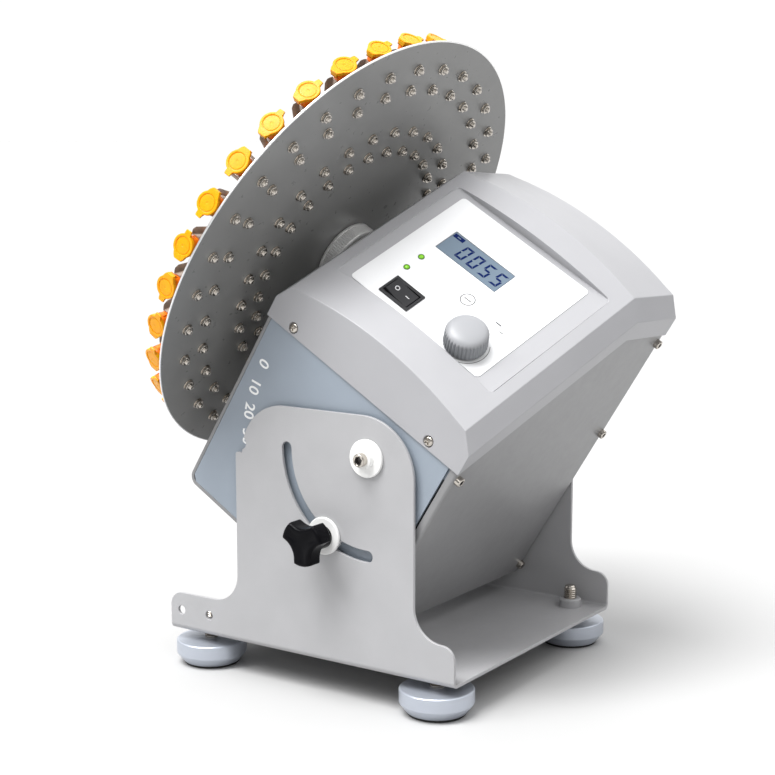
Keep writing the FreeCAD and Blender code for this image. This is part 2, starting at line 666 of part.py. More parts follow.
def make_end_panel():
    """The sheet at the far end, with a flange turned in along each cheek."""
    under = seam_solid("under_seam_end", 0.2)
    wall = "@head_right - @head_gauge"
    lip = "@head_right - 4.7"
    inside = "@head_width / 2 - 1.6"
    corners = [(lip, "-" + HALF_HEAD), ("@head_right", "-" + HALF_HEAD), ("@head_right", HALF_HEAD),
               (lip, HALF_HEAD), (lip, inside), (wall, inside), (wall, "-(%s)" % inside),
               (lip, "-(%s)" % inside)]
    channel = sheet_metal("end_channel", "XY_Plane", corners, "250")
    round_edges(channel, channel.Tip, "XY_Plane", [corners[1], corners[2]], "1.5")
    above_floor = Placement(Vector(size("@head_right"), 0, size("@head_floor")), UPRIGHT)
    floor = block("end_limit", "40", "@head_width + 20", "230", above_floor)
    trimmed = shared("end_trimmed", channel, under)
    doc.recompute()
    bounded = shared("end_bounded", trimmed, floor)
    doc.recompute()
    holes = []
    for index, (depth, up) in enumerate(PANEL_SCREWS):
        spot = Vector(size("@head_right") - 10, depth * size(PANEL_SCREW_ACROSS), size(up))
        holes.append(rod("panel_hole%d" % index, "1.6", "20", Placement(spot, ALONG_SHAFT)))
    node(cut("end_panel", bounded, holes), "end_panel", HEAD)


def cover_profile(inset):
    """The cover's section along the shaft at the front face, above the seam, shrunk by a wall."""
    base = size("@seam_front")
    left = size("@cover_left") + inset
    right = size("@cover_right") - inset
    skirt = base + size("@skirt_height") - inset * 0.4
    edge = base + size("@edge_height") - inset
    border = base + size("@border_height") - inset
    crown = base + size("@crown_height") - inset
    bevel_left = size("@bevel_left")
    bevel_right = size("@bevel_right")
    width = size("@border_width")
    low = base - (1 if inset else 0)
    spots = [(left, low), (left, skirt), (left + bevel_left, edge), (left + bevel_left + width, border),
             ((left + right + bevel_left - bevel_right) / 2, crown),
             (right - bevel_right - width, border), (right - bevel_right, edge), (right, skirt), (right, low)]
    front = -HALF_COVER + inset
    drop = inset * math.tan(math.radians(SLOPE))
    points = [Vector(along, front, up + drop) for along, up in spots]
    edges = [Part.makeLine(points[index], points[index + 1]) for index in range(3)]
    edges.append(Part.Arc(points[3], points[4], points[5]).toShape())
    edges += [Part.makeLine(points[index], points[index + 1]) for index in range(5, 8)]
    edges.append(Part.makeLine(points[8], points[0]))
    return Part.Face(Part.Wire(edges))


def cover_solid(inset):
    """The profile pushed up the deck's slope to the ridge and then along the shallow fall behind it."""
    face = cover_profile(inset)
    front = -HALF_COVER + inset
    rear = HALF_COVER - inset
    ridge = size("@ridge_across")
    climb = Vector(0, ridge - front, (ridge - front) * math.tan(math.radians(SLOPE)))
    fall = Vector(0, rear - ridge, -(rear - ridge) * math.tan(math.radians(size("@rear_fall"))))
    slope = face.extrude(climb)
    top_face = face.copy()
    top_face.translate(climb)
    return slope.fuse(top_face.extrude(fall)).removeSplitter()


def carve(base, tool, name):
    """Base without a tool, which has to reach into it."""
    result = base.cut(tool)
    if not 0 < result.Volume < base.Volume - 1e-3:
        raise RuntimeError(name + " is not carved")
    return result


def deck_box(along_low, along_high, near, far, low, high, rounding=0):
    """A box in the deck's frame, given in the head's frame."""
    box = Part.makeBox(along_high - along_low, far - near, high - low, Vector(along_low, near, low))
    if rounding:
        uprights = [edge for edge in box.Edges
                    if abs(edge.Vertexes[0].Point.z - edge.Vertexes[-1].Point.z) > (high - low) / 2]
        box = box.makeFillet(rounding, uprights)
    box.Placement = HEAD.inverse().multiply(DECK)
    return box


def deck_hole(along, up_slope, radius, low, high):
    drill = Part.makeCylinder(radius, high - low, Vector(along, up_slope, low))
    drill.Placement = HEAD.inverse().multiply(DECK)
    return drill


def deck_cutouts(low, high, margin=0.0):
    """The openings for the controls, as tools in the head's frame."""
    half_length = size("@display_length / 2") + margin
    half_width = size("@display_width / 2") + margin
    display = deck_box(size("@display_along") - half_length, size("@display_along") + half_length,
                       size("@display_up") - half_width, size("@display_up") + half_width, low, high)
    body_half = size("@switch_length / 2 - 0.7") + margin
    body_deep = size("@switch_width / 2 - 0.8") + margin
    switch = deck_box(size("@switch_along") - body_half, size("@switch_along") + body_half,
                      size("@switch_up") - body_deep, size("@switch_up") + body_deep, low, high)
    tools = [display, switch, deck_hole(size("@knob_along"), size("@knob_up"), 3.7 + margin, low, high)]
    lamp_radius = size("@led_radius") + 0.1 + margin
    for up_slope in ("@led_near", "@led_far"):
        tools.append(deck_hole(size("@led_along"), size(up_slope), lamp_radius, low, high))
    return tools


def make_cover():
    """The plastic shell, with its arch cut flat for the control deck."""
    arch_left = size("@cover_left + @bevel_left + @border_width + 0.3")
    arch_right = size("@cover_right - @bevel_right - @border_width - 0.3")
    sunk = deck_box(arch_left, arch_right, size("@deck_near"), size("@deck_far"), 0, 20, 3)
    shelf = deck_box(arch_left - 4, arch_right + 4, size("@deck_near") - 4, size("@deck_far") + 4,
                     -size("@cover_wall"), 20)
    hollow = carve(cover_solid(size("@cover_wall")), shelf, "cover's inside")
    shell = carve(carve(cover_solid(0), sunk, "cover's deck"), hollow, "cover")
    for tool in deck_cutouts(-20, 20):
        shell = carve(shell, tool, "deck opening")
    holes = []
    for along in COVER_SCREWS:
        for depth in (-1, 1):
            spot = Vector(size(along), depth * HALF_COVER, screw_height(depth))
            holes.append(Part.makeCylinder(1.6, 12, spot - Vector(0, 6, 0), Vector(0, 1, 0)))
            holes.append(Part.makeCylinder(3.1, 3.0, spot - Vector(0, 1.5, 0), Vector(0, 1, 0)))
    shell = shell.cut(Part.makeCompound(holes))
    cover = doc.addObject("Part::Feature", "cover")
    cover.Shape = shell
    node(cover, "head_cover", HEAD)


def screw_height(depth):
    return seam_height(depth * HALF_COVER) + 4.2


def make_label():
    """The thin white label on the deck, with openings for everything that comes through it."""
    gauge = size("@label_gauge")
    shape = deck_box(size("@label_left"), size("@label_right"), size("@label_near"), size("@label_far"),
                     0, gauge, 2.5)
    for tool in deck_cutouts(-1, 2, 0.2):
        shape = carve(shape, tool, "label opening")
    label = doc.addObject("Part::Feature", "label")
    label.Shape = shape
    node(label, "deck_label", HEAD)


def make_screws():
    """Pan-head screws for the cover and cap screws for the end panel."""
    pan = turned("pan_form", [
        ("0", "-7"), ("1.5", "-7"), ("1.5", "-1.5"), ("2.8", "-1.5"), ("2.8", "-0.4"), ("2.1", "0.4"),
        ("0", "0.7")])
    places = []
    for along in COVER_SCREWS:
        for depth, turn in ((-1, TOWARDS_FRONT), (1, TOWARDS_REAR)):
            spot = Vector(size(along), depth * HALF_COVER, screw_height(depth))
            places.append(HEAD.multiply(Placement(spot, turn)))
    group("cover_screws", pan, places)

    cap = turned("cap_form", [
        ("0", "-8"), ("1.5", "-8"), ("1.5", "0"), ("2.75", "0"), ("2.75", "2.6"), ("2.35", "3"), ("0", "3")])
    socket = sketch_lines(cap, "cap_socket", "XY_Plane", hexagon(1.25))
    socket.AttachmentOffset = Placement(Vector(0, 0, 3), UPRIGHT)
    doc.recompute()
    pocket(cap, socket, "1.6")
    places = []
    for depth, up in PANEL_SCREWS:
        places.append(in_head("@head_right", "%d * (%s)" % (depth, PANEL_SCREW_ACROSS), up, ALONG_SHAFT))
    group("panel_screws", cap, places)


# ---------------------------------------------------------------------------------------------------------
# Controls on the deck


def make_display():
    spot = on_deck("@display_along", "@display_up", "-@cover_wall")
    pane = block("display_glass", "@display_length - 0.4", "@display_width - 0.4", "@cover_wall + 0.2")
    node(pane, "display_pane", spot)
    behind = Placement(Vector(0, 0, size("@cover_wall - @board_depth + 0.1")), UPRIGHT)
    module = block("display_frame", "@display_length + 7", "@display_width + 8",
                   "@board_depth - @cover_wall - 0.2", behind)
    node(module, "display_module", spot)


def make_switch():
    """A rocker on two pins in a bezelled housing, drawn with its right half pressed."""
    spot = on_deck("@switch_along", "@switch_up", "@label_gauge")
    bezel = block("switch_bezel", "@switch_length", "@switch_width", "@bezel_height")
    below = Placement(Vector(0, 0, -17), UPRIGHT)
    box = block("switch_box", "@switch_length - 1.8", "@switch_width - 2", "17.5", below)
    well_place = Placement(Vector(0, 0, -8), UPRIGHT)
    well = block("switch_well", "@rocker_length + 1.9", "@rocker_width + 0.7", "12", well_place)
    pin_hole = rod("switch_pin_hole", "1.06", "@rocker_width + 2.4",
                   Placement(Vector(0, size("@rocker_width / 2 + 1.2"), size("@rocker_axis")), TOWARDS_FRONT))
    shell = fuse("switch_shell", [bezel, box])
    doc.recompute()
    node(cut("switch_case", shell, [well, pin_hole]), "switch_housing", spot)

    half = "@rocker_length / 2"
    outline = [("0", "1.4"), ("-" + half, "2.4"), ("-" + half, "0.6"), ("-5", "-2.5"), ("5", "-2.5"),
               (half, "0.6"), (half, "2.4")]
    rocker = sheet_metal("rocker_form", "XZ_Plane", outline, "@rocker_width")
    pin = rod("rocker_pin", "1", "@rocker_width + 2.2",
              Placement(Vector(0, size("@rocker_width / 2 + 1.1"), 0), TOWARDS_FRONT))
    whole = fuse("rocker_whole", [rocker, pin])
    pressed = Placement(Vector(0, 0, size("@rocker_axis")), Rotation(Vector(0, 1, 0), size("@rocker_swing / 2")))
    node(whole, "switch_rocker", spot.multiply(pressed))


def make_speed_control():
    """An encoder on the board, with a rotor that turns with the shaft and lets it be pushed."""
    spot = on_deck("@knob_along", "@knob_up")
    base = "0.1 - @board_depth"
    box = block("encoder_box", "12", "12", "6.5", Placement(Vector(0, 0, size(base)), UPRIGHT))
    neck = rod("encoder_neck", "3.5", "@board_depth + 1", Placement(Vector(0, 0, size(base) + 0.5), UPRIGHT))
    throat = rod("encoder_throat", "3.05", "30", Placement(Vector(0, 0, size(base) + 1), UPRIGHT))
    chamber = rod("encoder_chamber", "4.9", "4", Placement(Vector(0, 0, size(base) + 0.8), UPRIGHT))
    shell = fuse("encoder_shell", [box, neck])
    doc.recompute()
    node(cut("encoder_case", shell, [throat, chamber]), "encoder_body", spot)

    turning = turned("encoder_ring", [
        ("3.05", base + " + 1"), ("4.5", base + " + 1"), ("4.5", base + " + 4.4"), ("3.05", base + " + 4.4")])
    node(turning, "encoder_rotor", spot)
    shaft = turned("encoder_pin", [
        ("0", base + " + 2"), ("3", base + " + 2"), ("3", "8.5"), ("2.5", "9"), ("0", "9")])
    node(shaft, "encoder_shaft", spot)

    top = "@label_gauge + @knob_height"
    low = "@label_gauge + 1"
    knob = turned("knob_form", [
        ("3.03", "4"), ("5", "4"), ("5", low), ("@knob_radius - 0.5", low), ("@knob_radius", low + " + 0.5"),
        ("@knob_radius - 0.5", top + " - 2"), ("@knob_radius - 2", top + " - 0.4"),
        ("@knob_radius - 3.5", top), ("0", top), ("0", "9.2"), ("3.03", "9.2")])
    node(knob, "speed_knob", spot)


def make_board():
    """The control board under the deck, with its standoffs, parts and lamps."""
    middle = on_deck("(@board_left + @board_right) / 2", "(@board_near + @board_far) / 2",
                     "-@board_depth - 1.6")
    slab = block("board_slab", "@board_right - @board_left", "@board_far - @board_near", "1.6", middle)
    gap_place = on_deck("@switch_along", "@board_near", "-@board_depth - 5")
    gap_width = "2 * (@switch_up - @board_near + @switch_width / 2 + 1.5)"
    gap = block("board_gap", "@switch_length + 3", gap_width, "10", gap_place)
    doc.recompute()
    node(cut("board", slab, [gap]), "control_board")

    post = rod("post_form", "2.5", "@board_depth - @cover_wall - 0.2")
    leg = rod("leg_form", "2.5", "3.8")
    doc.recompute()
    shapes = []
    for along in ("@board_left + 3", "@board_right - 3"):
        for up_slope in ("@board_near + 3", "@board_far - 3"):
            shapes.append((post, on_deck(along, up_slope, "0.1 - @board_depth")))
    for along in (-58, 18):
        for across in (-36, 36):
            shapes.append((leg, in_head(along, across, "@head_floor + @head_gauge + 0.1")))
    copies(shapes, "board_standoffs")

    chip = block("chip_form", "14", "14", "1.8")
    can = rod("can_form", "3.2", "5")
    plug = block("plug_form", "16", "6", "5.5")
    doc.recompute()
    facing_down = Rotation(Vector(1, 0, 0), 180)
    under = "-@board_depth - 1.7"
    spots = [(chip, -8, 70), (chip, -30, 72), (can, 4, 92), (can, -6, 92), (plug, -2, 106)]
    copies([(form, on_deck(along, up, under, facing_down)) for form, along, up in spots], "board_parts")

    lamp = turned("lamp_form", [
        ("0", "0.1 - @board_depth"), ("1.9", "0.1 - @board_depth"), ("1.9", "-6"),
        ("@led_radius - 0.1", "-6"), ("@led_radius - 0.1", "0.4"), ("1", "1.1"), ("0", "1.3")])
    group("indicator_lamps", lamp, [on_deck("@led_along", up) for up in ("@led_near", "@led_far")])


def copies(shapes, name):
    """One node of several forms, each in its own place."""
    solids = []
    for form, place in shapes:
        solid = form.Shape.copy()
        solid.Placement = place.multiply(form.Placement)
        solids.append(solid)
    feature = doc.addObject("Part::Feature", name)
    feature.Shape = Part.makeCompound(solids)
    node(feature, name)


def make_supply():
    """The motor's driver on the head's floor, and the low-voltage inlet in the rear cheek."""
    place = in_head(-20, 0, "@head_floor + @head_gauge + 4")
    node(block("driver_slab", "84", "80", "1.6", place), "driver_board")
    sink = block("sink_form", "30", "18", "16")
    can = rod("reservoir_form", "6.3", "20")
    choke = block("choke_form", "16", "16", "12")
    plug = block("terminal_form", "20", "9", "9")
    doc.recompute()
    top = "@head_floor + @head_gauge + 5.7"
    spots = [(sink, -45, 25), (can, -20, 28), (can, -4, 28), (choke, -45, -20), (plug, 8, -30),
             (plug, -20, -30)]
    copies([(form, in_head(along, across, top)) for form, along, across in spots], "driver_parts")

    face = "@head_width / 2"
    inlet = turned("inlet_form", [
        ("2.75", "-9"), ("2.75", "1.6"), ("@inlet_radius + 1.2", "1.6"), ("@inlet_radius + 1.5", "1.2"),
        ("@inlet_radius + 1.5", "0"), ("@inlet_radius", "0"), ("@inlet_radius", "-13"), ("0", "-13"),
        ("0", "0"), ("0.8", "0"), ("1.05", "-0.4"), ("1.05", "-9")])
    spot = in_head("@inlet_along", face, "@inlet_up", TOWARDS_REAR)
    node(inlet, "power_inlet", spot)
    nut = turned("inlet_ring", [
        ("@inlet_radius + 0.02", "-@head_gauge - 2.6"), ("@inlet_radius + 2.5", "-@head_gauge - 2.6"),
        ("@inlet_radius + 2.5", "-@head_gauge - 0.1"), ("@inlet_radius + 0.02", "-@head_gauge - 0.1")])
    node(nut, "inlet_nut", spot)


# ---------------------------------------------------------------------------------------------------------
# Drive: everything on the shaft's axis, placed by its distance from the disc's inner face


def make_drive():
    wall = "@head_left + @head_gauge - @disc_along"
    bearing_bore = "@shaft_radius + 0.04"
    housing = turned("bearing_block", [
        ("13.05", "-(%s) - 22" % wall), ("20", "-(%s) - 22" % wall), ("20", "-(%s) - 0.1" % wall),
        ("8", "-(%s) - 0.1" % wall), ("8", "-(%s) - 3" % wall), ("13.05", "-(%s) - 3" % wall)])
    node(housing, "bearing_housing", ROTOR)
    race = turned("bearing_form", [(bearing_bore, "0"), ("13", "0"), ("13", "8"), (bearing_bore, "8")])
    places = [ROTOR.multiply(Placement(Vector(0, 0, -size(wall) - back), UPRIGHT)) for back in (11.1, 21.9)]
    group("shaft_bearings", race, places)

    plate_at = "-(%s) - 43" % wall
    plate = turned("motor_mount", [
        ("6.3", plate_at), ("32.5", plate_at), ("32.5", plate_at + " + 3"), ("6.3", plate_at + " + 3")])
    node(plate, "motor_plate", ROTOR)
    spacer = rod("spacer_rod", "3.5", "39.8")
    places = []
    for index in range(4):
        turn = Rotation(Vector(0, 0, 1), 90 * index)
        offset = turn.multVec(Vector(28, 0, 0)) + Vector(0, 0, size(plate_at) + 3.1)
        places.append(ROTOR.multiply(Placement(offset, UPRIGHT)))
    group("motor_standoffs", spacer, places)
    gearbox = turned("gear_case", [
        ("3.05", plate_at + " - 0.1"), ("3.05", plate_at + " - 18"), ("0", plate_at + " - 18"),
        ("0", plate_at + " - 28"), ("18.5", plate_at + " - 28"), ("18.5", plate_at + " - 0.1"),
        ("6", plate_at + " - 0.1"), ("6", plate_at + " + 4"), ("3.05", plate_at + " + 4")])
    node(gearbox, "gearbox", ROTOR)
    motor = turned("motor_can", [
        ("0", plate_at + " - 74"), ("5", plate_at + " - 74"), ("5", plate_at + " - 72"),
        ("16.5", plate_at + " - 72"), ("17.5", plate_at + " - 71"), ("17.5", plate_at + " - 28.1"),
        ("0", plate_at + " - 28.1")])
    node(motor, "motor", ROTOR)
    output = turned("gear_output", [
        ("0", plate_at + " - 17.5"), ("3", plate_at + " - 17.5"), ("3", plate_at + " + 13"),
        ("0", plate_at + " + 13")])
    node(output, "gearbox_shaft", ROTOR)
    coupling = turned("coupling_form", [
        ("3.02", plate_at + " + 4.5"), ("10", plate_at + " + 4.5"), ("10", plate_at + " + 20"),
        ("@shaft_radius + 0.02", plate_at + " + 20"), ("@shaft_radius + 0.02", plate_at + " + 13.5"),
        ("3.02", plate_at + " + 13.5")])
    node(coupling, "shaft_coupling", ROTOR)
    shaft = turned("main_shaft", [
        ("0", plate_at + " + 13.6"), ("@shaft_radius", plate_at + " + 13.6"), ("@shaft_radius", "10"),
        ("@shaft_radius - 0.6", "10.6"), ("0", "10.6")])
    node(shaft, "drive_shaft", ROTOR)


def make_disc():
    """The hub, the disc with its two rings of clips, and the nut that holds them."""
    collar = turned("hub_form", [
        ("@shaft_radius + 0.02", "-@hub_length"), ("@hub_radius - 1", "-@hub_length"),
        ("@hub_radius", "1 - @hub_length"), ("@hub_radius", "-0.9"), ("@hub_radius - 0.8", "-0.1"),
        ("@shaft_radius + 0.02", "-0.1")])
    hub_places = []
    taps = []
    for index in range(4):
        turn = Rotation(Vector(0, 0, 1), 45 + 90 * index)
        spot = turn.multVec(Vector(size("@hub_radius - 4.5"), 0, 0))
        hub_places.append(Placement(spot, UPRIGHT))
        taps.append(rod("hub_tap%d" % index, "1.55", "40", Placement(spot - Vector(0, 0, 30), UPRIGHT)))
    node(cut("hub", collar, taps), "hub_collar", ROTOR)
    hub_screw = turned("hub_screw_form", [
        ("0", "-8"), ("1.5", "-8"), ("1.5", "@disc_gauge"), ("2.7", "@disc_gauge"),
        ("2.7", "@disc_gauge + 2.6"), ("2.3", "@disc_gauge + 3"), ("0", "@disc_gauge + 3")])
    group("hub_screws", hub_screw, [ROTOR.multiply(place) for place in hub_places])
    nut = turned("disc_nut_form", [
        ("@shaft_radius + 0.02", "@disc_gauge + 0.1"), ("13", "@disc_gauge + 0.1"), ("13", "@disc_gauge + 7"),
        ("12", "@disc_gauge + 8"), ("@shaft_radius + 0.02", "@disc_gauge + 8")])
    node(nut, "disc_nut", ROTOR)

    body = doc.addObject("PartDesign::Body", "disc_body")
    pad(body, sketch_circles(body, "disc_outline", "XY_Plane", [("0", "0", "@disc_radius")]), "@disc_gauge")
    centre = [("0", "0", "@shaft_radius + 0.1")]
    for index in range(4):
        angle = 45 + 90 * index
        reach = "(@hub_radius - 4.5)"
        centre.append(("%s * cos(%d)" % (reach, angle), "%s * sin(%d)" % (reach, angle), "1.6"))
    pocket(body, sketch_circles(body, "disc_centre", "XY_Plane", centre), "@disc_gauge", reverse=True)
    for ring in ("outer", "inner"):
        spots = []
        for extra in ("", " + @clip_pitch"):
            reach = "(@%s_screws%s)" % (ring, extra)
            across, up = ["%s * %s(@%s_phase)" % (reach, turn, ring) for turn in ("cos", "sin")]
            spots.append((across, up, "1.6"))
        holes = sketch_circles(body, "disc_%s_holes" % ring, "XY_Plane", spots)
        repeat_about_z(body, pocket(body, holes, "@disc_gauge", reverse=True), "@%s_count" % ring)
    node(body, "disc", ROTOR)


def clip_places(ring):
    """The middle of each clip on the disc's outer face, with X outward along the radius."""
    count = int(size("@%s_count" % ring))
    middle = size("@%s_screws + @clip_pitch / 2" % ring)
    for index in range(count):
        turn = Rotation(Vector(0, 0, 1), size("@%s_phase" % ring) + 360.0 * index / count)
        yield Placement(turn.multVec(Vector(middle, 0, 0)) + Vector(0, 0, size("@disc_gauge")), turn)


def clip_form():
    """A sprung strip: a flat foot, two arms curved round the tube, and lips that lead the tube in."""
    wall = 0.5
    centre = Vector(0, 0, size("@tube_height"))
    grip = size("@tube_radius") + 0.25

    def on_arm(radius, angle):
        turn = math.radians(angle)
        return centre + Vector(0, radius * math.cos(turn), radius * math.sin(turn))

    def one_side(offset):
        radius = grip + offset
        foot = Vector(0, 3.4 + offset, wall - offset)
        start = on_arm(radius, -52)
        lip = on_arm(radius, 34)
        outward = Vector(0, 2.6, 2.9)
        return foot, start, on_arm(radius, -10), lip, lip + outward

    inner = one_side(0)
    outer = one_side(wall)
    edges = [Part.makeLine(Vector(0, 0, wall), inner[0]), Part.makeLine(inner[0], inner[1]),
             Part.Arc(inner[1], inner[2], inner[3]).toShape(), Part.makeLine(inner[3], inner[4]),
             Part.makeLine(inner[4], outer[4]), Part.makeLine(outer[4], outer[3]),
             Part.Arc(outer[3], outer[2], outer[1]).toShape(), Part.makeLine(outer[1], outer[0]),
             Part.makeLine(outer[0], Vector(0, 0, 0)), Part.makeLine(Vector(0, 0, 0), Vector(0, 0, wall))]
    length = size("@clip_length")
    half = Part.Face(Part.Wire(edges)).extrude(Vector(length, 0, 0))
    half.translate(Vector(-length / 2, 0, 0))
    strip = half.fuse(half.mirror(Vector(0, 0, 0), Vector(0, 1, 0))).removeSplitter()
    arms = Part.makeBox(length - 2, 30, 30, Vector(1 - length / 2, -15, -12))
    ends = [edge for edge in arms.Edges if abs(edge.Vertexes[0].Point.y - edge.Vertexes[-1].Point.y) > 20]
    rounded = arms.makeFillet(6.0, [edge for edge in ends if edge.CenterOfMass.z > 10])
    foot = Part.makeBox(length, 30, 1.2, Vector(-length / 2, -15, 0))
    clip = strip.common(rounded.fuse(foot))
    half_pitch = size("@clip_pitch / 2")
    for side in (-1, 1):
        clip = clip.cut(Part.makeCylinder(1.6, 4, Vector(side * half_pitch, 0, -1)))
    return clip


def tube_form():
    """A capped tube lying along X with its cap outward, its hinge to one side and its tab to the other."""
    length = size("@tube_length")
    radius = size("@tube_radius")
    profile = [(0, 0), (1.5, 0), (2.2, 0.8), (radius - 0.2, 17), (radius, 18), (radius, length - 4),
               (radius + 0.8, length - 3.4), (radius + 0.8, length - 2.2), (radius + 1.2, length - 2),
               (radius + 1.2, length - 0.3), (radius + 0.9, length), (4.4, length), (4.1, length - 1),
               (0, length - 1)]
    points = [Vector(out, 0, along) for out, along in profile]
    face = Part.Face(Part.makePolygon(points + points[:1]))
    tube = face.revolve(Vector(0, 0, 0), Vector(0, 0, 1), 360)
    hinge = Part.makeBox(4.4, 2.2, 2.6, Vector(-2.2, radius + 0.4, length - 2.8))
    tab = Part.makeBox(5, 3.4, 1, Vector(-2.5, -radius - 3.8, length - 1.4))
    tube = tube.fuse(hinge).fuse(tab)
    tube.Placement = Placement(Vector(-length / 2, 0, size("@tube_height")), Rotation(Vector(0, 1, 0), 90))
    return tube


def make_tubes():
    """Both rings of clips, screwed to the disc, and a tube in each clip."""
    screw = turned("clip_screw_form", [
        ("0", "-@disc_gauge - 4"), ("1.2", "-@disc_gauge - 4"), ("1.5", "-@disc_gauge - 3.6"), ("1.5", "0.5"),
        ("2.7", "0.5"), ("2.4", "1.7"), ("1.5", "2.1"), ("0", "2.1")])
    nut_body = doc.addObject("PartDesign::Body", "clip_nut_form")
    pad(nut_body, sketch_lines(nut_body, "clip_nut_outline", "XY_Plane", hexagon(2.7)), "2.2")
    doc.recompute()
    thread = sketch_circles(nut_body, "clip_nut_thread", "XY_Plane", [("0", "0", "1.52")])
    pocket(nut_body, thread, "3", reverse=True)

    screw_places = []
    nut_places = []
    under = -size("@disc_gauge") - 2.25
    for ring in ("outer", "inner"):
        for place in clip_places(ring):
            for side in (-1, 1):
                along = side * size("@clip_pitch / 2")
                screw_places.append(ROTOR.multiply(place).multiply(Placement(Vector(along, 0, 0), UPRIGHT)))
                spun = Rotation(Vector(0, 0, 1), 17 * len(nut_places))
                nut_places.append(ROTOR.multiply(place).multiply(Placement(Vector(along, 0, under), spun)))
    group("clip_screws", screw, screw_places)
    group("clip_nuts", nut_body, nut_places)

    for form_name, maker, outward in (("tube_clips", clip_form, 0), ("tubes", tube_form, 0)):
        form = doc.addObject("Part::Feature", form_name + "_form")
        form.Shape = maker()
        for ring in ("outer", "inner"):
            places = [ROTOR.multiply(place) for place in clip_places(ring)]
            group("%s_%s" % (form_name, ring), form, places)


def check_document():
    """Stops on any failed object, or any node whose shape is empty or broken."""
    doc.recompute()
    for thing in doc.Objects:
        if "Invalid" in thing.State or "Error" in thing.State:
            raise RuntimeError("%s failed: %s" % (thing.Name, thing.State))
    for thing in NODES:
        shape = thing.Shape
        if shape.isNull() or not shape.isValid() or shape.Volume <= 0:
            raise RuntimeError(thing.Label + " has no valid solid")


def export_nodes():
    os.makedirs("parts", exist_ok=True)
    for thing in NODES:
        thing.Shape.exportStep("parts/%s.step" % thing.Label)


make_bracket()
make_feet()
make_pivots()
make_clamp()
make_cheeks()
make_wrap()
make_end_panel()
make_cover()
make_label()
make_screws()
make_display()
make_switch()
make_speed_control()
make_board()
make_supply()
make_drive()
make_disc()
make_tubes()
check_document()
export_nodes()
print("%d nodes written" % len(NODES))
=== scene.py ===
"""The visual model of a tilting tube rotator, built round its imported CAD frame."""

import json
import math

import bmesh
import bpy
from mathutils import Matrix, Vector

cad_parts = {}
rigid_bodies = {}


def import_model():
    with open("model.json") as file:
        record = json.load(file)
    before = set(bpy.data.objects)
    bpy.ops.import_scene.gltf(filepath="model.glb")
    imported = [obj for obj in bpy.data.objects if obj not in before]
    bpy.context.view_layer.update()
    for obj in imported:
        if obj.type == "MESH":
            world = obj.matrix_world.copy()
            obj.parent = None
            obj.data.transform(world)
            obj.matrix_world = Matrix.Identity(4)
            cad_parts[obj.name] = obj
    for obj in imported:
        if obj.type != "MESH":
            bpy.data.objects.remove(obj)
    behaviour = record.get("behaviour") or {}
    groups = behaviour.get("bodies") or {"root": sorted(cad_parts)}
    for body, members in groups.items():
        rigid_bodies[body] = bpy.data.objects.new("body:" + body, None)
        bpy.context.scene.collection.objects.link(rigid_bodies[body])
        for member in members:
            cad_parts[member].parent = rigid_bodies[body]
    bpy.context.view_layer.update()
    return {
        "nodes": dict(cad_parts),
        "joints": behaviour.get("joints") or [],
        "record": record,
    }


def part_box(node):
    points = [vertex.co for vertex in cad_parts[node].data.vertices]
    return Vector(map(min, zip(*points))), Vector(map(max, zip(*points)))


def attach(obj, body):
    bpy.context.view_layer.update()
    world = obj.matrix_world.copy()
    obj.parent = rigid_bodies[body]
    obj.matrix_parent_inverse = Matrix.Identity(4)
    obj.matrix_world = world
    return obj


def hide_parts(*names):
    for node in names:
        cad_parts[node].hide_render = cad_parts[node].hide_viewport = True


for leftover in list(bpy.data.objects):
    bpy.data.objects.remove(leftover)
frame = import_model()
NODES = frame["nodes"]
JOINTS = {joint["name"]: joint for joint in frame["joints"]}
SLOTS = {part["node"]: part["material_slot"] for part in frame["record"]["subparts"]}
BODIES = {}
for body, members in frame["record"]["behaviour"]["bodies"].items():
    for member in members:
        BODIES[member] = body
MM = 0.001
FULL_TURN = 2 * math.pi
INK_DEPTH = 0.05        # mm, the thickness of a printed mark, part of it sunk into what it is printed on


# ---------------------------------------------------------------------------------------------------------
# Frames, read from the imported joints. Every place below is in millimetres in one of them.


def columns(x_axis, y_axis, z_axis, origin):
    """A matrix from three axes and an origin."""
    turn = Matrix((x_axis, y_axis, z_axis)).transposed().to_4x4()
    return Matrix.Translation(origin) @ turn


def joint_place(name):
    return Vector(JOINTS[name]["pos_m"]), Vector(JOINTS[name]["axis"]).normalized()


PIVOT = joint_place("head_tilt")[0]
DISC_CENTRE, DISC_AXIS = joint_place("disc_turn")
ACROSS = Vector((0, 1, 0))
ALONG = -DISC_AXIS
UP_HEAD = ALONG.cross(ACROSS)
HEAD = columns(ALONG, ACROSS, UP_HEAD, PIVOT)
ROTOR = columns(UP_HEAD, ACROSS, DISC_AXIS, DISC_CENTRE)
DIAL_CENTRE, DECK_NORMAL = joint_place("dial_turn")
DIAL = columns(ALONG, DECK_NORMAL.cross(ALONG), DECK_NORMAL, DIAL_CENTRE)
ROCKER_CENTRE = joint_place("switch_rock")[0]


def head_spot(along, across, up):
    return HEAD @ (Vector((along, across, up)) * MM)


# ---------------------------------------------------------------------------------------------------------
# Materials. Colours are linear, and the scales of the noises are features to the metre.


def new_material(name, colour, rough, metallic=0.0, **extra):
    """A Principled material, with the values that don't vary set on its own sockets."""
    material = bpy.data.materials.new(name)
    material.use_nodes = True
    shader = shader_of(material)
    shader.inputs["Base Color"].default_value = (*colour, 1)
    shader.inputs["Roughness"].default_value = rough
    shader.inputs["Metallic"].default_value = metallic
    for socket, value in extra.items():
        shader.inputs[socket.replace("_", " ")].default_value = value
    return material


def shader_of(material):
    return material.node_tree.nodes["Principled BSDF"]


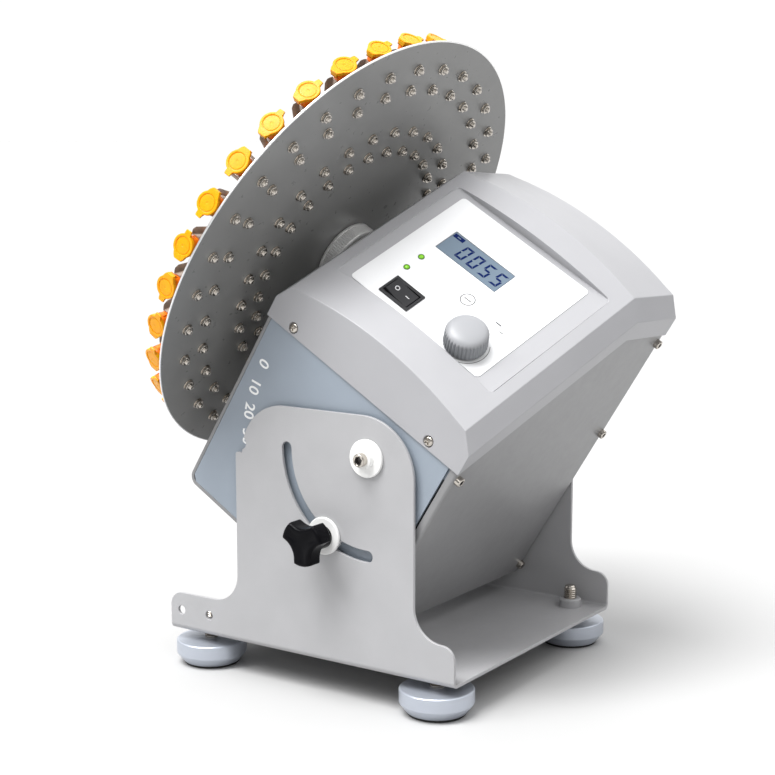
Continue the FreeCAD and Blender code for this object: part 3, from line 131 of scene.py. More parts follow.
def add(material, kind, links=(), **values):
    """Adds a node, sets its inputs by name and links others to its inputs."""
    node = material.node_tree.nodes.new("ShaderNode" + kind)
    for name, value in values.items():
        node.inputs[name.replace("_", " ")].default_value = value
    for target, source in links:
        material.node_tree.links.new(source, node.inputs[target])
    return node


def noise(material, scale, detail=3.0, stretch=(1, 1, 1)):
    """Noise in the object's own coordinates, at a number of features to the metre."""
    place = add(material, "TexCoord")
    mapping = add(material, "Mapping", [("Vector", place.outputs["Object"])], Scale=stretch)
    return add(material, "TexNoise", [("Vector", mapping.outputs["Vector"])], Scale=scale, Detail=detail)


def vary_colour(material, scale, colour_a, colour_b, stretch=(1, 1, 1)):
    """Mixes two close colours by a broad noise."""
    source = noise(material, scale, 4.0, stretch)
    ramp = add(material, "ValToRGB", [("Fac", source.outputs["Fac"])])
    for stop, position, colour in zip(ramp.color_ramp.elements, (0.3, 0.7), (colour_a, colour_b)):
        stop.position = position
        stop.color = (*colour, 1)
    material.node_tree.links.new(ramp.outputs["Color"], shader_of(material).inputs["Base Color"])


def vary_roughness(material, scale, low, high, stretch=(1, 1, 1)):
    source = noise(material, scale, 5.0, stretch)
    spread = add(material, "MapRange", [("Value", source.outputs["Fac"])], From_Min=0.3, From_Max=0.7,
                 To_Min=low, To_Max=high)
    material.node_tree.links.new(spread.outputs["Result"], shader_of(material).inputs["Roughness"])


def bump(material, source, strength, distance):
    relief = add(material, "Bump", [("Height", source)], Strength=strength, Distance=distance)
    material.node_tree.links.new(relief.outputs["Normal"], shader_of(material).inputs["Normal"])


def shade(colour, factor):
    return tuple(min(1.0, channel * factor) for channel in colour)


def powder_coat(name, colour, rough=0.42, depth=0.07):
    """Baked powder paint: a fine orange peel under a thin gloss."""
    material = new_material(name, colour, rough, Coat_Weight=0.12, Coat_Roughness=0.35)
    vary_colour(material, 45.0, shade(colour, 0.97), shade(colour, 1.03))
    vary_roughness(material, 200.0, rough - 0.03, rough + 0.03)
    peel = noise(material, 1500.0, 2.0)
    bump(material, peel.outputs["Fac"], depth, 0.0002)
    return material


def moulded(name, colour, rough=0.38, grain=2600.0, depth=0.08, specular=0.45):
    """Injection-moulded plastic with a spark-eroded grain."""
    material = new_material(name, colour, rough, Specular_IOR_Level=specular)
    vary_colour(material, 30.0, shade(colour, 0.98), shade(colour, 1.02))
    vary_roughness(material, 120.0, rough - 0.02, rough + 0.02)
    texture = noise(material, grain, 2.0)
    bump(material, texture.outputs["Fac"], depth, 0.00015)
    return material


def bare_metal(name, colour, rough=0.28, stretch=(1, 1, 1), scale=400.0, depth=0.03, metallic=1.0,
               spread=0.05):
    """Turned or plated metal, with fine tool marks."""
    material = new_material(name, colour, rough, metallic)
    vary_colour(material, scale * 2, shade(colour, 1 - spread), shade(colour, 1 + spread), stretch)
    vary_roughness(material, scale, rough - spread, rough + spread, stretch)
    marks = noise(material, scale * 3, 3.0, stretch)
    bump(material, marks.outputs["Fac"], depth, 0.0001)
    return material


def tube_plastic(name, colour):
    """Waxy polypropylene that lets some light in under its skin."""
    material = new_material(name, colour, 0.35, Subsurface_Weight=0.25, Subsurface_Scale=0.002,
                            Specular_IOR_Level=0.25)
    vary_colour(material, 60.0, shade(colour, 0.94), shade(colour, 1.05))
    vary_roughness(material, 300.0, 0.3, 0.42)
    return material


BRACKET = powder_coat("bracket_powder_coat", (0.375, 0.375, 0.385))
CHEEK = powder_coat("cheek_powder_coat", (0.26, 0.30, 0.35), 0.40)
# Painted shade: the end panel and the head wrap have the bracket's silver paint, but this copy is made much
# darker so that its colour stands for the shade on the panel's side turned away from the light.
SILVER_PAINT_WITH_PAINTED_SHADE = powder_coat("silver_paint_darkened_as_painted_shade", (0.225, 0.225, 0.23), 0.36)
COVER = moulded("cover_plastic_grey", (0.355, 0.355, 0.37), 0.33, 2600.0, 0.03)
NYLON = moulded("nylon_white", (0.80, 0.80, 0.79), 0.42, 900.0, 0.05)
BLACK = moulded("plastic_black_gloss", (0.004, 0.004, 0.005), 0.18, 1500.0, 0.02, 0.06)
SWITCH = moulded("switch_black", (0.020, 0.020, 0.022), 0.36, 1500.0, 0.03, 0.2)
DIAL_SKIRT = moulded("dial_grey", (0.24, 0.25, 0.265), 0.42, 1800.0, 0.04)
DIAL_CAP = moulded("dial_cap_grey", (0.30, 0.305, 0.32), 0.36, 1800.0, 0.03)
RUBBER = moulded("rubber_black", (0.02, 0.02, 0.02), 0.75, 1200.0, 0.25)
BOARD = moulded("board_green", (0.02, 0.11, 0.05), 0.45)
STEEL = bare_metal("zinc_steel_warm", (0.56, 0.52, 0.47), 0.20)
TURNED = bare_metal("turned_aluminium_fine", (0.93, 0.93, 0.92), 0.32, (1, 1, 1), 80.0, 0.003, 0.75, 0.015)
FOOT = bare_metal("foot_aluminium", (0.50, 0.535, 0.60), 0.34, (1, 1, 6), 60.0, 0.003, 0.6, 0.015)
RIM = bare_metal("disc_rim_aluminium", (0.92, 0.92, 0.92), 0.35)
SPRING = new_material("spring_steel_brown", (0.40, 0.31, 0.25), 0.34, 0.55)
vary_colour(SPRING, 200.0, (0.36, 0.28, 0.22), (0.46, 0.37, 0.31))
vary_roughness(SPRING, 300.0, 0.28, 0.42)
MOTOR = bare_metal("motor_steel_dark", (0.20, 0.19, 0.185), 0.4)
DISC_SKIN = powder_coat("disc_grey_coat", (0.20, 0.20, 0.197), 0.30, 0.005)
FILM = new_material("label_film_white", (0.72, 0.725, 0.735), 0.34)
vary_colour(FILM, 25.0, (0.71, 0.715, 0.725), (0.73, 0.735, 0.745))
vary_roughness(FILM, 90.0, 0.32, 0.37)
PRINT_WHITE = moulded("print_white", (0.90, 0.90, 0.90), 0.5)
PRINT_PALE = moulded("print_pale_grey", (0.50, 0.50, 0.51), 0.5)
PRINT_GREY = moulded("print_grey", (0.05, 0.05, 0.053), 0.45, specular=0.2)
PRINT_FAINT = moulded("print_faint_grey", (0.085, 0.085, 0.09), 0.45, specular=0.2)
LCD_FACE = moulded("display_blue_grey", (0.14, 0.185, 0.235), 0.3, 800.0, 0.02, 0.1)
LCD_INK = moulded("display_ink_blue", (0.002, 0.010, 0.075), 0.5, 800.0, 0.02, 0.05)
LAMP = new_material("lamp_green_glow", (0.16, 0.45, 0.01), 0.15, Emission_Color=(0.25, 0.62, 0.01, 1),
                    Emission_Strength=0.35, Transmission_Weight=0.2)
vary_roughness(LAMP, 400.0, 0.12, 0.2)
LAMP_RIM = moulded("lamp_rim_green", (0.05, 0.13, 0.01), 0.3)
CAP_YELLOW = tube_plastic("cap_yellow", (0.85, 0.365, 0.002))
TUBE_ORANGE = tube_plastic("tube_orange", (0.85, 0.18, 0.002))

NODE_MATERIALS = [
    (BRACKET, ["base_bracket", "foot_bosses"]),
    (CHEEK, ["cheek_front", "cheek_rear"]),
    # the darkened silver paint, whose darkness is painted shade
    (SILVER_PAINT_WITH_PAINTED_SHADE, ["head_wrap", "end_panel"]),
    (COVER, ["head_cover"]),
    (NYLON, ["pivot_bushes", "plate_spacers", "clamp_washer"]),
    (BLACK, ["driver_parts", "board_parts", "display_module", "encoder_body", "power_inlet"]),
    (SWITCH, ["switch_housing", "switch_rocker"]),
    (BOARD, ["control_board", "driver_board"]),
    (RUBBER, ["foot_pad_front_left", "foot_pad_front_right", "foot_pad_rear_left", "foot_pad_rear_right"]),
    (STEEL, ["hub_screws", "clamp_stud", "drive_shaft", "gearbox_shaft", "shaft_bearings",
             "motor_standoffs", "board_standoffs", "encoder_shaft", "encoder_rotor", "inlet_nut"]),
    (TURNED, ["disc_nut", "bearing_housing", "shaft_coupling", "motor_plate", "pivot_anchors"]),
    (MOTOR, ["gearbox", "motor"]),
    (FILM, ["deck_label"]),
    (LCD_FACE, ["display_pane"]),
    (LAMP, ["indicator_lamps"]),
]
for finish, names in NODE_MATERIALS:
    for name in names:
        NODES[name].data.materials.clear()
        NODES[name].data.materials.append(finish)


FLAT_WITHIN = math.radians(0.4)
EDGE_FROM = math.radians(28)


def soften(name, width):
    """Rounds the edges of a CAD node a little, so that they catch the light."""
    piece = NODES[name]
    weld = piece.modifiers.new("weld", "WELD")
    weld.merge_threshold = 1e-6
    flat = piece.modifiers.new("flat", "DECIMATE")
    flat.decimate_type = "DISSOLVE"
    flat.angle_limit = FLAT_WITHIN
    rounded = piece.modifiers.new("rounded", "BEVEL")
    rounded.width = width * MM
    rounded.segments = 2
    rounded.limit_method = "ANGLE"
    rounded.angle_limit = EDGE_FROM
    rounded.use_clamp_overlap = False
    normals = piece.modifiers.new("normals", "WEIGHTED_NORMAL")
    normals.keep_sharp = False


EDGE_WIDTHS = {
    "base_bracket": 0.3, "cheek_front": 0.25, "cheek_rear": 0.25, "head_wrap": 0.3, "end_panel": 0.3,
    "head_cover": 0.45, "switch_housing": 0.25, "switch_rocker": 0.35, "deck_label": 0.1,
}
for name, width in EDGE_WIDTHS.items():
    soften(name, width)


# ---------------------------------------------------------------------------------------------------------
# Mesh forms


class Form:
    """Vertices in millimetres and faces, each face with the number of its finish."""

    def __init__(self):
        self.spots = []
        self.faces = []
        self.finishes = []

    def add(self, spots, faces, finish=0, place=None):
        first = len(self.spots)
        self.spots += [place @ Vector(spot) if place else Vector(spot) for spot in spots]
        self.faces += [[first + corner for corner in face] for face in faces]
        self.finishes += [finish] * len(faces)
        return self

    def join(self, other, place=None):
        first = len(self.spots)
        self.spots += [place @ spot if place else spot for spot in other.spots]
        self.faces += [[first + corner for corner in face] for face in other.faces]
        self.finishes += other.finishes
        return self

    def turned(self, profile, finish=0, count=48, place=None):
        """A skin through rings of (reach, height), where a reach may vary with the angle."""
        spots, rings = [], []
        for reach, height in profile:
            ring = []
            for index in range(1 if reach == 0 else count):
                angle = FULL_TURN * index / count
                radius = reach(angle) if callable(reach) else reach
                level = height(angle) if callable(height) else height
                ring.append(len(spots))
                spots.append((radius * math.cos(angle), radius * math.sin(angle), level))
            rings.append(ring)
        faces = []
        for low, high in zip(rings, rings[1:]):
            for index in range(count):
                after = (index + 1) % count
                if len(low) == 1:
                    faces.append((low[0], high[after], high[index]))
                elif len(high) == 1:
                    faces.append((low[index], low[after], high[0]))
                else:
                    faces.append((low[index], low[after], high[after], high[index]))
        return self.add(spots, faces, finish, place)

    def flat(self, outline, level=0.0, finish=0, place=None):
        """A closed film of ink whose top face has this outline and level."""
        count = len(outline)
        spots = [(x, y, height) for height in (level - INK_DEPTH, level) for x, y in outline]
        faces = [range(count), range(count, 2 * count)]
        for index in range(count):
            after = (index + 1) % count
            faces.append((index, after, count + after, count + index))
        return self.add(spots, faces, finish, place)

    def band(self, inner, outer, level=0.0, finish=0, place=None, start=0.0, sweep=FULL_TURN, count=64):
        """A closed film of ink in the shape of a ring, or part of one, whose top face has this level."""
        base = level - INK_DEPTH
        spots, faces = [], []
        for index in range(count + 1):
            angle = start + sweep * index / count
            for radius, height in ((inner, base), (outer, base), (outer, level), (inner, level)):
                spots.append((radius * math.cos(angle), radius * math.sin(angle), height))
        for first in range(0, 4 * count, 4):
            for side in range(4):
                after = (side + 1) % 4
                faces.append((first + side, first + after, first + 4 + after, first + 4 + side))
        if sweep < FULL_TURN:
            faces.append(range(4))
            faces.append(range(4 * count, 4 * count + 4))
        return self.add(spots, faces, finish, place)


def shift(x, y, z):
    return Matrix.Translation((x, y, z))


def spin(degrees, axis="Z"):
    return Matrix.Rotation(math.radians(degrees), 4, axis)


def make_piece(name, form, finishes, body, slot, place, replaced=(), sharp=32):
    """Turns a form into an object that rides on a body, in metres."""
    mesh = bpy.data.meshes.new(name)
    mesh.from_pydata([place @ (spot * MM) for spot in form.spots], [], form.faces)
    mesh.polygons.foreach_set("material_index", form.finishes)
    for finish in finishes:
        mesh.materials.append(finish)
    work = bmesh.new()
    work.from_mesh(mesh)
    bmesh.ops.remove_doubles(work, verts=work.verts, dist=1e-7)
    bmesh.ops.recalc_face_normals(work, faces=work.faces)
    work.to_mesh(mesh)
    work.free()
    mesh.polygons.foreach_set("use_smooth", [True] * len(mesh.polygons))
    mesh.set_sharp_from_angle(angle=math.radians(sharp))
    piece = bpy.data.objects.new(name, mesh)
    bpy.context.scene.collection.objects.link(piece)
    piece.modifiers.new("normals", "WEIGHTED_NORMAL").keep_sharp = True
    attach(piece, body)
    if replaced:
        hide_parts(*replaced)
    return piece


def stand_in(name, form, finishes, place, *nodes, **options):
    """A piece in place of CAD nodes, riding on the first node's body."""
    return make_piece(name, form, finishes, BODIES[nodes[0]], SLOTS[nodes[0]], place, nodes, **options)


def hexagonal(flat):
    """The reach of a hexagon from its middle, by the radius of its inscribed circle."""
    def reach(angle):
        return flat / math.cos((angle + math.pi / 6) % (math.pi / 3) - math.pi / 6)
    return reach


def cross(length, half_width):
    """The reach of a cross with four equal arms."""
    def reach(angle):
        off = (angle + math.pi / 4) % (math.pi / 2) - math.pi / 4
        return min(length / math.cos(off), half_width / max(abs(math.sin(off)), 1e-6))
    return reach


def thread(radius, low, high, pitch):
    """Rings of a screw thread between two heights, from low to high."""
    profile = []
    turns = int((high - low) / pitch)
    for index in range(turns):
        base = low + index * pitch
        profile += [(radius - 0.55 * pitch, base), (radius, base + 0.5 * pitch)]
    return profile + [(radius - 0.55 * pitch, low + turns * pitch)]


# ---------------------------------------------------------------------------------------------------------
# Disc, hub, clips and tubes, in the rotor's frame with the disc's inner face at zero

DISC_GAUGE = 1.2
DISC_BORE = 5.1
DISC_FLAT = 139.4       # where the rounded rim starts
DISC_SIDES = 180
HUB_BORE = 5.02
CLIP_PITCH = 13.0       # between a clip's two screws
CLIP_AXIS_UP = 10.0     # the tube's axis over the disc's outer face
RINGS = {"outer": (32, 116.5, 2.8), "inner": (28, 76.5, 5.0)}       # clips, reach, degrees to the first


def clip_places(ring):
    """The middle of each clip on the disc's outer face, with X outward."""
    count, reach, phase = RINGS[ring]
    for index in range(count):
        yield spin(phase + 360 * index / count) @ shift(reach, 0, DISC_GAUGE)


def make_disc():
    disc = Form()
    rim = [(DISC_FLAT, 0), (139.85, 0.12), (140, 0.35), (140, 0.85), (139.85, 1.08), (DISC_FLAT, DISC_GAUGE)]
    disc.turned([(DISC_BORE, 0), (80, 0), (DISC_FLAT, 0)], 0, DISC_SIDES)
    disc.turned(rim, 1, DISC_SIDES)
    disc.turned([(DISC_FLAT, DISC_GAUGE), (80, DISC_GAUGE), (DISC_BORE, DISC_GAUGE), (DISC_BORE, 0)], 0,
                DISC_SIDES)
    stand_in("disc_plate", disc, [DISC_SKIN, RIM], ROTOR, "disc")

    def knurl(angle):
        """Ninety fine ridges round the hub."""
        return 20.86 + 0.14 * math.cos(90 * angle)

    hub = Form().turned([
        (HUB_BORE, -10.6), (9, -10.6), (9.6, -10.0), (17.2, -10.0), (17.8, -10.6), (20.4, -10.6),
        (21, -10.1), (21, -9.2), (20.7, -9.0), (knurl, -8.8), (knurl, -2.0), (20.7, -1.8), (21, -1.6),
        (21, -0.8), (20.4, -0.1), (HUB_BORE, -0.1), (HUB_BORE, -10.6)], 0, 360)
    stand_in("hub_knurled", hub, [TURNED], ROTOR, "hub_collar", sharp=25)


def make_fasteners():
    """Hex nuts on washers with the threaded tips standing out, and pan heads on the clips."""
    hexagon = hexagonal(2.65)
    soft_hexagon = hexagonal(2.45)

    def rounded_hexagon(angle):
        return min(hexagon(angle), 2.88)

    nut = Form()
    nut.turned([(1.6, -0.05), (3.3, -0.05), (3.4, -0.15), (3.4, -0.4), (3.3, -0.5), (1.6, -0.5),
                (1.6, -0.05)], 0, 24)
    nut.turned([(1.45, -0.5), (soft_hexagon, -0.5), (rounded_hexagon, -0.75), (rounded_hexagon, -2.0),
                (soft_hexagon, -2.25), (2.1, -2.3), (1.9, -2.25), (1.45, -1.9), (1.45, -0.5)], 0, 36)
    standing = thread(1.5, 0, 3.6, 0.5) + [(1.1, 3.8), (0.8, 3.95), (0, 3.95)]
    shank = [(0, 0.6), (1.5, 0.6), (1.5, -DISC_GAUGE)]
    shank += [(reach, -DISC_GAUGE - height) for reach, height in standing]
    screw = Form().turned(shank, 0, 20)
    screw.turned([(0, 0.5), (2.6, 0.5), (2.75, 0.7), (2.7, 1.3), (2.3, 1.85), (1.9, 2.0),
                  (cross(1.5, 0.42), 2.05), (cross(1.3, 0.3), 1.2), (0, 1.0)], 0, 32)
    nuts, screws = Form(), Form()
    count = 0
    for ring in RINGS:
        for place in clip_places(ring):
            for side in (-1, 1):
                spot = place @ shift(side * CLIP_PITCH / 2, 0, 0)
                nuts.join(nut, spot @ shift(0, 0, -DISC_GAUGE) @ spin(17 * count))
                screws.join(screw, spot @ spin(29 * count))
                count += 1
    stand_in("clip_nut_set", nuts, [STEEL], ROTOR, "clip_nuts")
    stand_in("clip_screw_set", screws, [STEEL], ROTOR, "clip_screws")


def clip_form():
    """A sprung strip: a flat foot, arms curved round the tube, and lips whose corners are rounded."""
    wall, grip = 0.5, 5.55
    foot_half, lip_half, corner = 12.5, 11.5, 5
    skin = []
    for offset in (0.0, wall):
        radius = grip + offset
        line = [(0.0, wall - offset), (3.4 + offset, wall - offset)]
        for index in range(13):
            angle = math.radians(-52 + 86 * index / 12)
            line.append((radius * math.cos(angle), CLIP_AXIS_UP + radius * math.sin(angle)))
        tip = line[-1]
        for step in (0.25, 0.5, 0.75, 1.0):
            line.append((tip[0] + 2.6 * step, tip[1] + 2.9 * step - 0.25 * math.sin(math.pi * step)))
        skin.append(line)
    travel = [0.0]
    for before, after in zip(skin[0], skin[0][1:]):
        travel.append(travel[-1] + math.dist(before, after))
    form = Form()
    for side in (-1, 1):
        spots, faces = [], []
        for index, reached in enumerate(travel):
            left = travel[-1] - reached
            half = foot_half if index < 2 else lip_half
            if left < corner:
                half -= corner - math.sqrt(max(0.0, corner ** 2 - (corner - left) ** 2))
            for line in skin:
                for end in (-1, 1):
                    spots.append((end * half, side * line[index][0], line[index][1]))
        last = len(travel) - 1
        for index in range(last):
            here, there = 4 * index, 4 * index + 4
            for a, b in ((0, 1), (1, 3), (3, 2), (2, 0)):
                faces.append((here + a, here + b, there + b, there + a))
        faces.append((4 * last, 4 * last + 1, 4 * last + 3, 4 * last + 2))
        form.add(spots, faces)
    return form


CAP_REACH = 6.5


def cap_reach(angle):
    """The cap's edge: a disc with a wide hinge on +Y and a small tab on -Y."""
    from_hinge = abs(math.degrees(angle) - 90)
    from_tab = abs(math.degrees(angle) - 270)
    if from_hinge <= 15:
        return 8.4 / math.cos(math.radians(from_hinge))
    if from_hinge < 40:
        return 8.7 + (CAP_REACH - 8.7) * (from_hinge - 15) / 25
    if from_tab <= 11:
        return 9.0 / math.cos(math.radians(from_tab * 0.8))
    if from_tab < 19:
        return 9.1 + (CAP_REACH - 9.1) * (from_tab - 11) / 8
    return CAP_REACH


def tube_form():
    """A capped tube standing on its tip: ribs under its collar, a ringed cap and the cap's strap."""
    def shrunk(by):
        return lambda angle: cap_reach(angle) - by

    def underside(angle):
        return 37.7 if abs(math.degrees(angle) - 270) < 18 else 36.8

    form = Form()
    form.turned([(0, 0), (1.4, 0), (2.1, 0.5), (2.35, 1.2), (5.0, 17.2), (5.25, 18.2), (5.3, 19), (5.3, 34.4),
                 (6.0, 34.9), (6.1, 35.3), (6.1, 36.4), (5.9, 36.8), (4.0, 36.8), (0, 36.85)], 1, 36)
    for angle in range(0, 360, 60):
        rib = [(5.1, -0.35, 30), (5.95, -0.35, 34.8), (5.95, 0.35, 34.8), (5.1, 0.35, 30), (5.0, 0, 34.8)]
        form.add(rib, [(0, 1, 2, 3), (0, 4, 1), (3, 2, 4), (1, 4, 2), (0, 3, 4)], 1, spin(angle + 30))
    form.turned([(0, 36.75), (4.0, 36.8), (5.4, underside), (shrunk(0.3), underside),
                 (shrunk(0), lambda angle: underside(angle) + 0.25), (shrunk(0), 38.45), (shrunk(0.12), 38.7),
                 (shrunk(0.4), 38.8), (5.2, 38.8), (5.0, 38.7), (4.9, 38.3), (4.5, 38.25), (4.4, 38.5),
                 (4.0, 38.6), (0.8, 38.6), (0.6, 38.45), (0, 38.45)], 0, 96)
    box_faces = [(0, 1, 2, 3), (7, 6, 5, 4), (0, 4, 5, 1), (1, 5, 6, 2), (2, 6, 7, 3), (3, 7, 4, 0)]
    for near, top, finish in ((5.4, 36.0, 1), (7.7, 38.0, 0)):
        corners = ((-2.0, near), (2.0, near), (2.0, 8.3), (-2.0, 8.3))
        form.add([(x, y, z) for z in (35.4, top) for x, y in corners], box_faces, finish)
    return form


def make_tubes():
    """Each ring of clips and tubes. People close caps either way round, so some tabs point back."""
    clip = clip_form()
    tube = tube_form()
    lying = shift(-19.5, 0, CLIP_AXIS_UP) @ spin(90, "Y")
    hinge_first = {"outer": (2, 3, 8, 14, 15, 23, 25, 26), "inner": (2, 3, 9, 10, 17, 22)}
    for ring in RINGS:
        clips, tubes = Form(), Form()
        for index, place in enumerate(clip_places(ring)):
            clips.join(clip, place)
            turn = 0 if index in hinge_first[ring] else 180
            tubes.join(tube, place @ lying @ spin(turn + (index * 37) % 11 - 5))
        stand_in("clip_strips_" + ring, clips, [SPRING], ROTOR, "tube_clips_" + ring)
        stand_in("tube_set_" + ring, tubes, [CAP_YELLOW, TUBE_ORANGE], ROTOR, "tubes_" + ring)


# ---------------------------------------------------------------------------------------------------------
# Feet, knob and screws


def make_feet():
    """Turned aluminium feet, each on a threaded stud that shows above its boss."""
    for corner in ("front_left", "front_right", "rear_left", "rear_right"):
        node = "foot_" + corner
        low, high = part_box(node)
        middle = Vector(((low.x + high.x) / 2, (low.y + high.y) / 2, 0))
        foot = Form().turned([
            (0, 1.4), (16.2, 1.4), (16.6, 1.7), (20.2, 6.3), (20.4, 6.8), (20.4, 13.2), (20.25, 13.7),
            (19.8, 14.15), (19.2, 14.3), (8.5, 14.6), (6.4, 14.8), (6.2, 14.9), (0, 14.9)], 0, 96)
        shank = [(0, 14.5), (3.9, 14.5), (3.9, 16)]
        shank += thread(3.95, 16, 34.0, 1.25)
        shank += [(3.1, 34.6), (2.6, 35.0), (0, 35.0)]
        foot.turned(shank, 1, 32)
        stand_in("foot_turned_" + corner, foot, [FOOT, STEEL], Matrix.Translation(middle), node)


CLAMP_DROP = 53.5       # the clamp's axis, from the pivot's
HUB_BEHIND_LOBES = 11
LOBE_TURN = 61.5
THIRD = FULL_TURN / 3


def make_knob():
    """The black three-lobed knob on the tilt clamp, at its own place along the stud."""
    low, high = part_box("clamp_knob")
    spot = head_spot(0, 0, -CLAMP_DROP)
    spot.y = high.y
    place = columns(ALONG, UP_HEAD, Vector((0, -1, 0)), spot)
    length = (high.y - low.y) / MM
    back = length - HUB_BEHIND_LOBES

    def lobed(shrink):
        def reach(angle):
            """Three lobes: a disc with three round hollows, blended where they meet."""
            off = (angle - math.radians(LOBE_TURN) + THIRD / 2) % THIRD - THIRD / 2
            away = THIRD / 2 - abs(off)
            middle, hollow, edge = 18.6, 10.8 + shrink, 12.9 - shrink
            side = math.sin(away) * middle
            if side >= hollow:
                return edge
            bite = middle * math.cos(away) - math.sqrt(hollow ** 2 - side ** 2)
            blend = 0.7
            return -blend * math.log(math.exp(-edge / blend) + math.exp(-bite / blend))
        return reach

    profile = [(0, 0), (6.2, 0), (6.4, 0.3), (6.4, back + 0.6)]
    profile += [(lobed(shrink), back + rise) for shrink, rise in
                ((2.2, 0.05), (1.0, 0.1), (0.3, 0.6), (0, 1.4))]
    profile += [(lobed(shrink), length - drop) for shrink, drop in
                ((0, 2.0), (0.15, 1.1), (0.6, 0.4), (1.3, 0.05), (2.2, 0), (3.2, 0.4), (5.5, 0.8))]
    profile.append((0, length - 0.9))
    knob = Form().turned(profile, 0, 180)
    stand_in("clamp_grip", knob, [BLACK], place, "clamp_knob", sharp=50)


def make_screws():
    """Pan heads on the cover, socket heads on the end panel and shoulder screws in the pivots."""
    pan = Form().turned([(0, -1.5), (2.8, -1.5), (2.85, -1.2), (2.8, -0.5), (2.4, 0.15), (2.0, 0.4),
                         (cross(1.75, 0.42), 0.5), (cross(1.5, 0.3), -0.4), (0, -0.7)], 0, 48)
    pan.turned([(0, -1.3), (1.5, -1.3), (1.5, -7), (0, -7)], 0, 16)
    pans = Form()
    front_up = 29.2
    rear_up = front_up + 116.8 * math.tan(math.radians(31)) - 54.8 * math.tan(math.radians(3.4))
    for along in (-77.4, 24.2):
        for side, across, up in ((90, -85.8, front_up), (-90, 85.8, rear_up)):
            pans.join(pan, shift(along, across, up) @ spin(side, "X") @ spin(20 + along))
    stand_in("cover_screw_set", pans, [STEEL], HEAD, "cover_screws")

    cap = Form().turned([(0, 0), (2.75, 0), (2.75, 2.5), (2.5, 2.85), (2.2, 3.0), (1.75, 3.0),
                         (hexagonal(1.35), 2.9)], 0, 48)
    cap.turned([(hexagonal(1.35), 2.9), (hexagonal(1.3), 1.2), (0, 0.9)], 1, 48)
    cap.turned([(0, 0.2), (1.5, 0.2), (1.5, -8), (0, -8)], 0, 16)
    caps = Form()
    panel_face = 47
    for across, up in ((-80.9, 20.5), (-80.9, -83), (80.9, 20.5), (80.9, -83), (80.9, 86.5)):
        caps.join(cap, shift(panel_face, across, up) @ spin(90, "Y") @ spin(up))
    stand_in("panel_screw_set", caps, [STEEL, MOTOR], HEAD, "panel_screws")

    pivot = Form().turned([(0, -14), (2.0, -14), (2.0, -4), (2.5, -4), (2.5, 5), (3.5, 5), (3.6, 5.1),
                           (3.6, 7.9), (3.45, 8.35), (3.1, 8.6), (2.6, 8.6), (hexagonal(2.1), 8.4)], 0, 72)
    pivot.turned([(hexagonal(2.1), 8.4), (hexagonal(2.05), 5.6), (0, 5.2)], 1, 72)
    pivots = Form()
    low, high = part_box("base_bracket")
    for side, across in ((90, low.y), (-90, high.y)):
        pivots.join(pivot, shift(0, across / MM, 0) @ spin(side, "X") @ spin(11))
    stand_in("pivot_screw_set", pivots, [STEEL, MOTOR], HEAD, "pivot_screws")


# ---------------------------------------------------------------------------------------------------------
# Controls on the deck, with the dial's axis at zero and the deck's surface at zero height

LABEL_TOP = 0.4
PANE_TOP = 0.2
INK_RISE = 0.03         # of a mark's top over what it is printed on
LAMPS_ALONG = -58.7
PANE_LEFT = -59.1
PANE_MIDDLE = 47.6
PANE_HALF = 8.6
DIGIT_PITCH = 8.6


def make_dial():
    """A dial with a ribbed skirt and a domed cap."""
    def ribbed(radius):
        """Thirty-six ribs with rounded grooves between them."""
        return lambda angle: radius - 0.62 * (0.5 + 0.5 * math.cos(36 * angle)) ** 1.6

    dial = Form()
    bore = [(0, 9.2), (3.03, 9.2), (3.03, 4), (5, 4), (5, 1.8)]
    skirt = [(10.6, 1.8), (11.4, 1.4), (11.8, 1.5), (ribbed(12.1), 1.8), (ribbed(11.9), 9.4),
             (ribbed(11.7), 9.7)]
    dial.turned(bore + skirt, 0, 360)
    dial.turned([(ribbed(11.7), 9.7), (ribbed(11.75), 10.1), (11.25, 10.9), (10.6, 11.6), (9.6, 12.2),
                 (8.3, 12.65), (6.4, 13.0), (3.5, 13.25), (0, 13.35)], 1, 360)
    stand_in("dial_ribbed", dial, [DIAL_SKIRT, DIAL_CAP], DIAL, "speed_knob", sharp=60)


def dash(half_length, half_width):
    """The outline of a bar."""
    return [(-half_length, -half_width), (half_length, -half_width), (half_length, half_width),
            (-half_length, half_width)]


def make_prints():
    """Thin printed marks: an arc, a ring and dashes on the label, and a ring round each lamp."""
    marks = Form()
    level = LABEL_TOP + INK_RISE
    ring_spot = shift(-20.4, 23.8, 0)
    marks.band(13.1, 13.45, level, 0, start=math.radians(-110), sweep=math.radians(150))
    marks.band(3.8, 4.35, level, 1, ring_spot)
    marks.flat(dash(2.4, 0.32), level, 1, ring_spot)
    marks.flat(dash(2.0, 0.4), level, 0, shift(2.6, 23.6, 0))
    marks.flat(dash(1.4, 0.3), level, 1, shift(7.6, 20.2, 0))
    make_piece("label_marks", marks, [PRINT_GREY, PRINT_FAINT], "head", SLOTS["deck_label"], DIAL)

    rims = Form()
    section = [(1.45, 0.35), (1.5, 0.75), (1.65, 0.85), (1.85, 0.75), (1.95, 0.42), (1.45, 0.35)]
    for up in (15.7, 27.2):
        rims.turned(section, 0, 32, shift(LAMPS_ALONG, up, 0))
    make_piece("lamp_rims", rims, [LAMP_RIM], "head", SLOTS["indicator_lamps"], DIAL)


SEGMENTS = {"0": "abcdef", "5": "acdfg"}


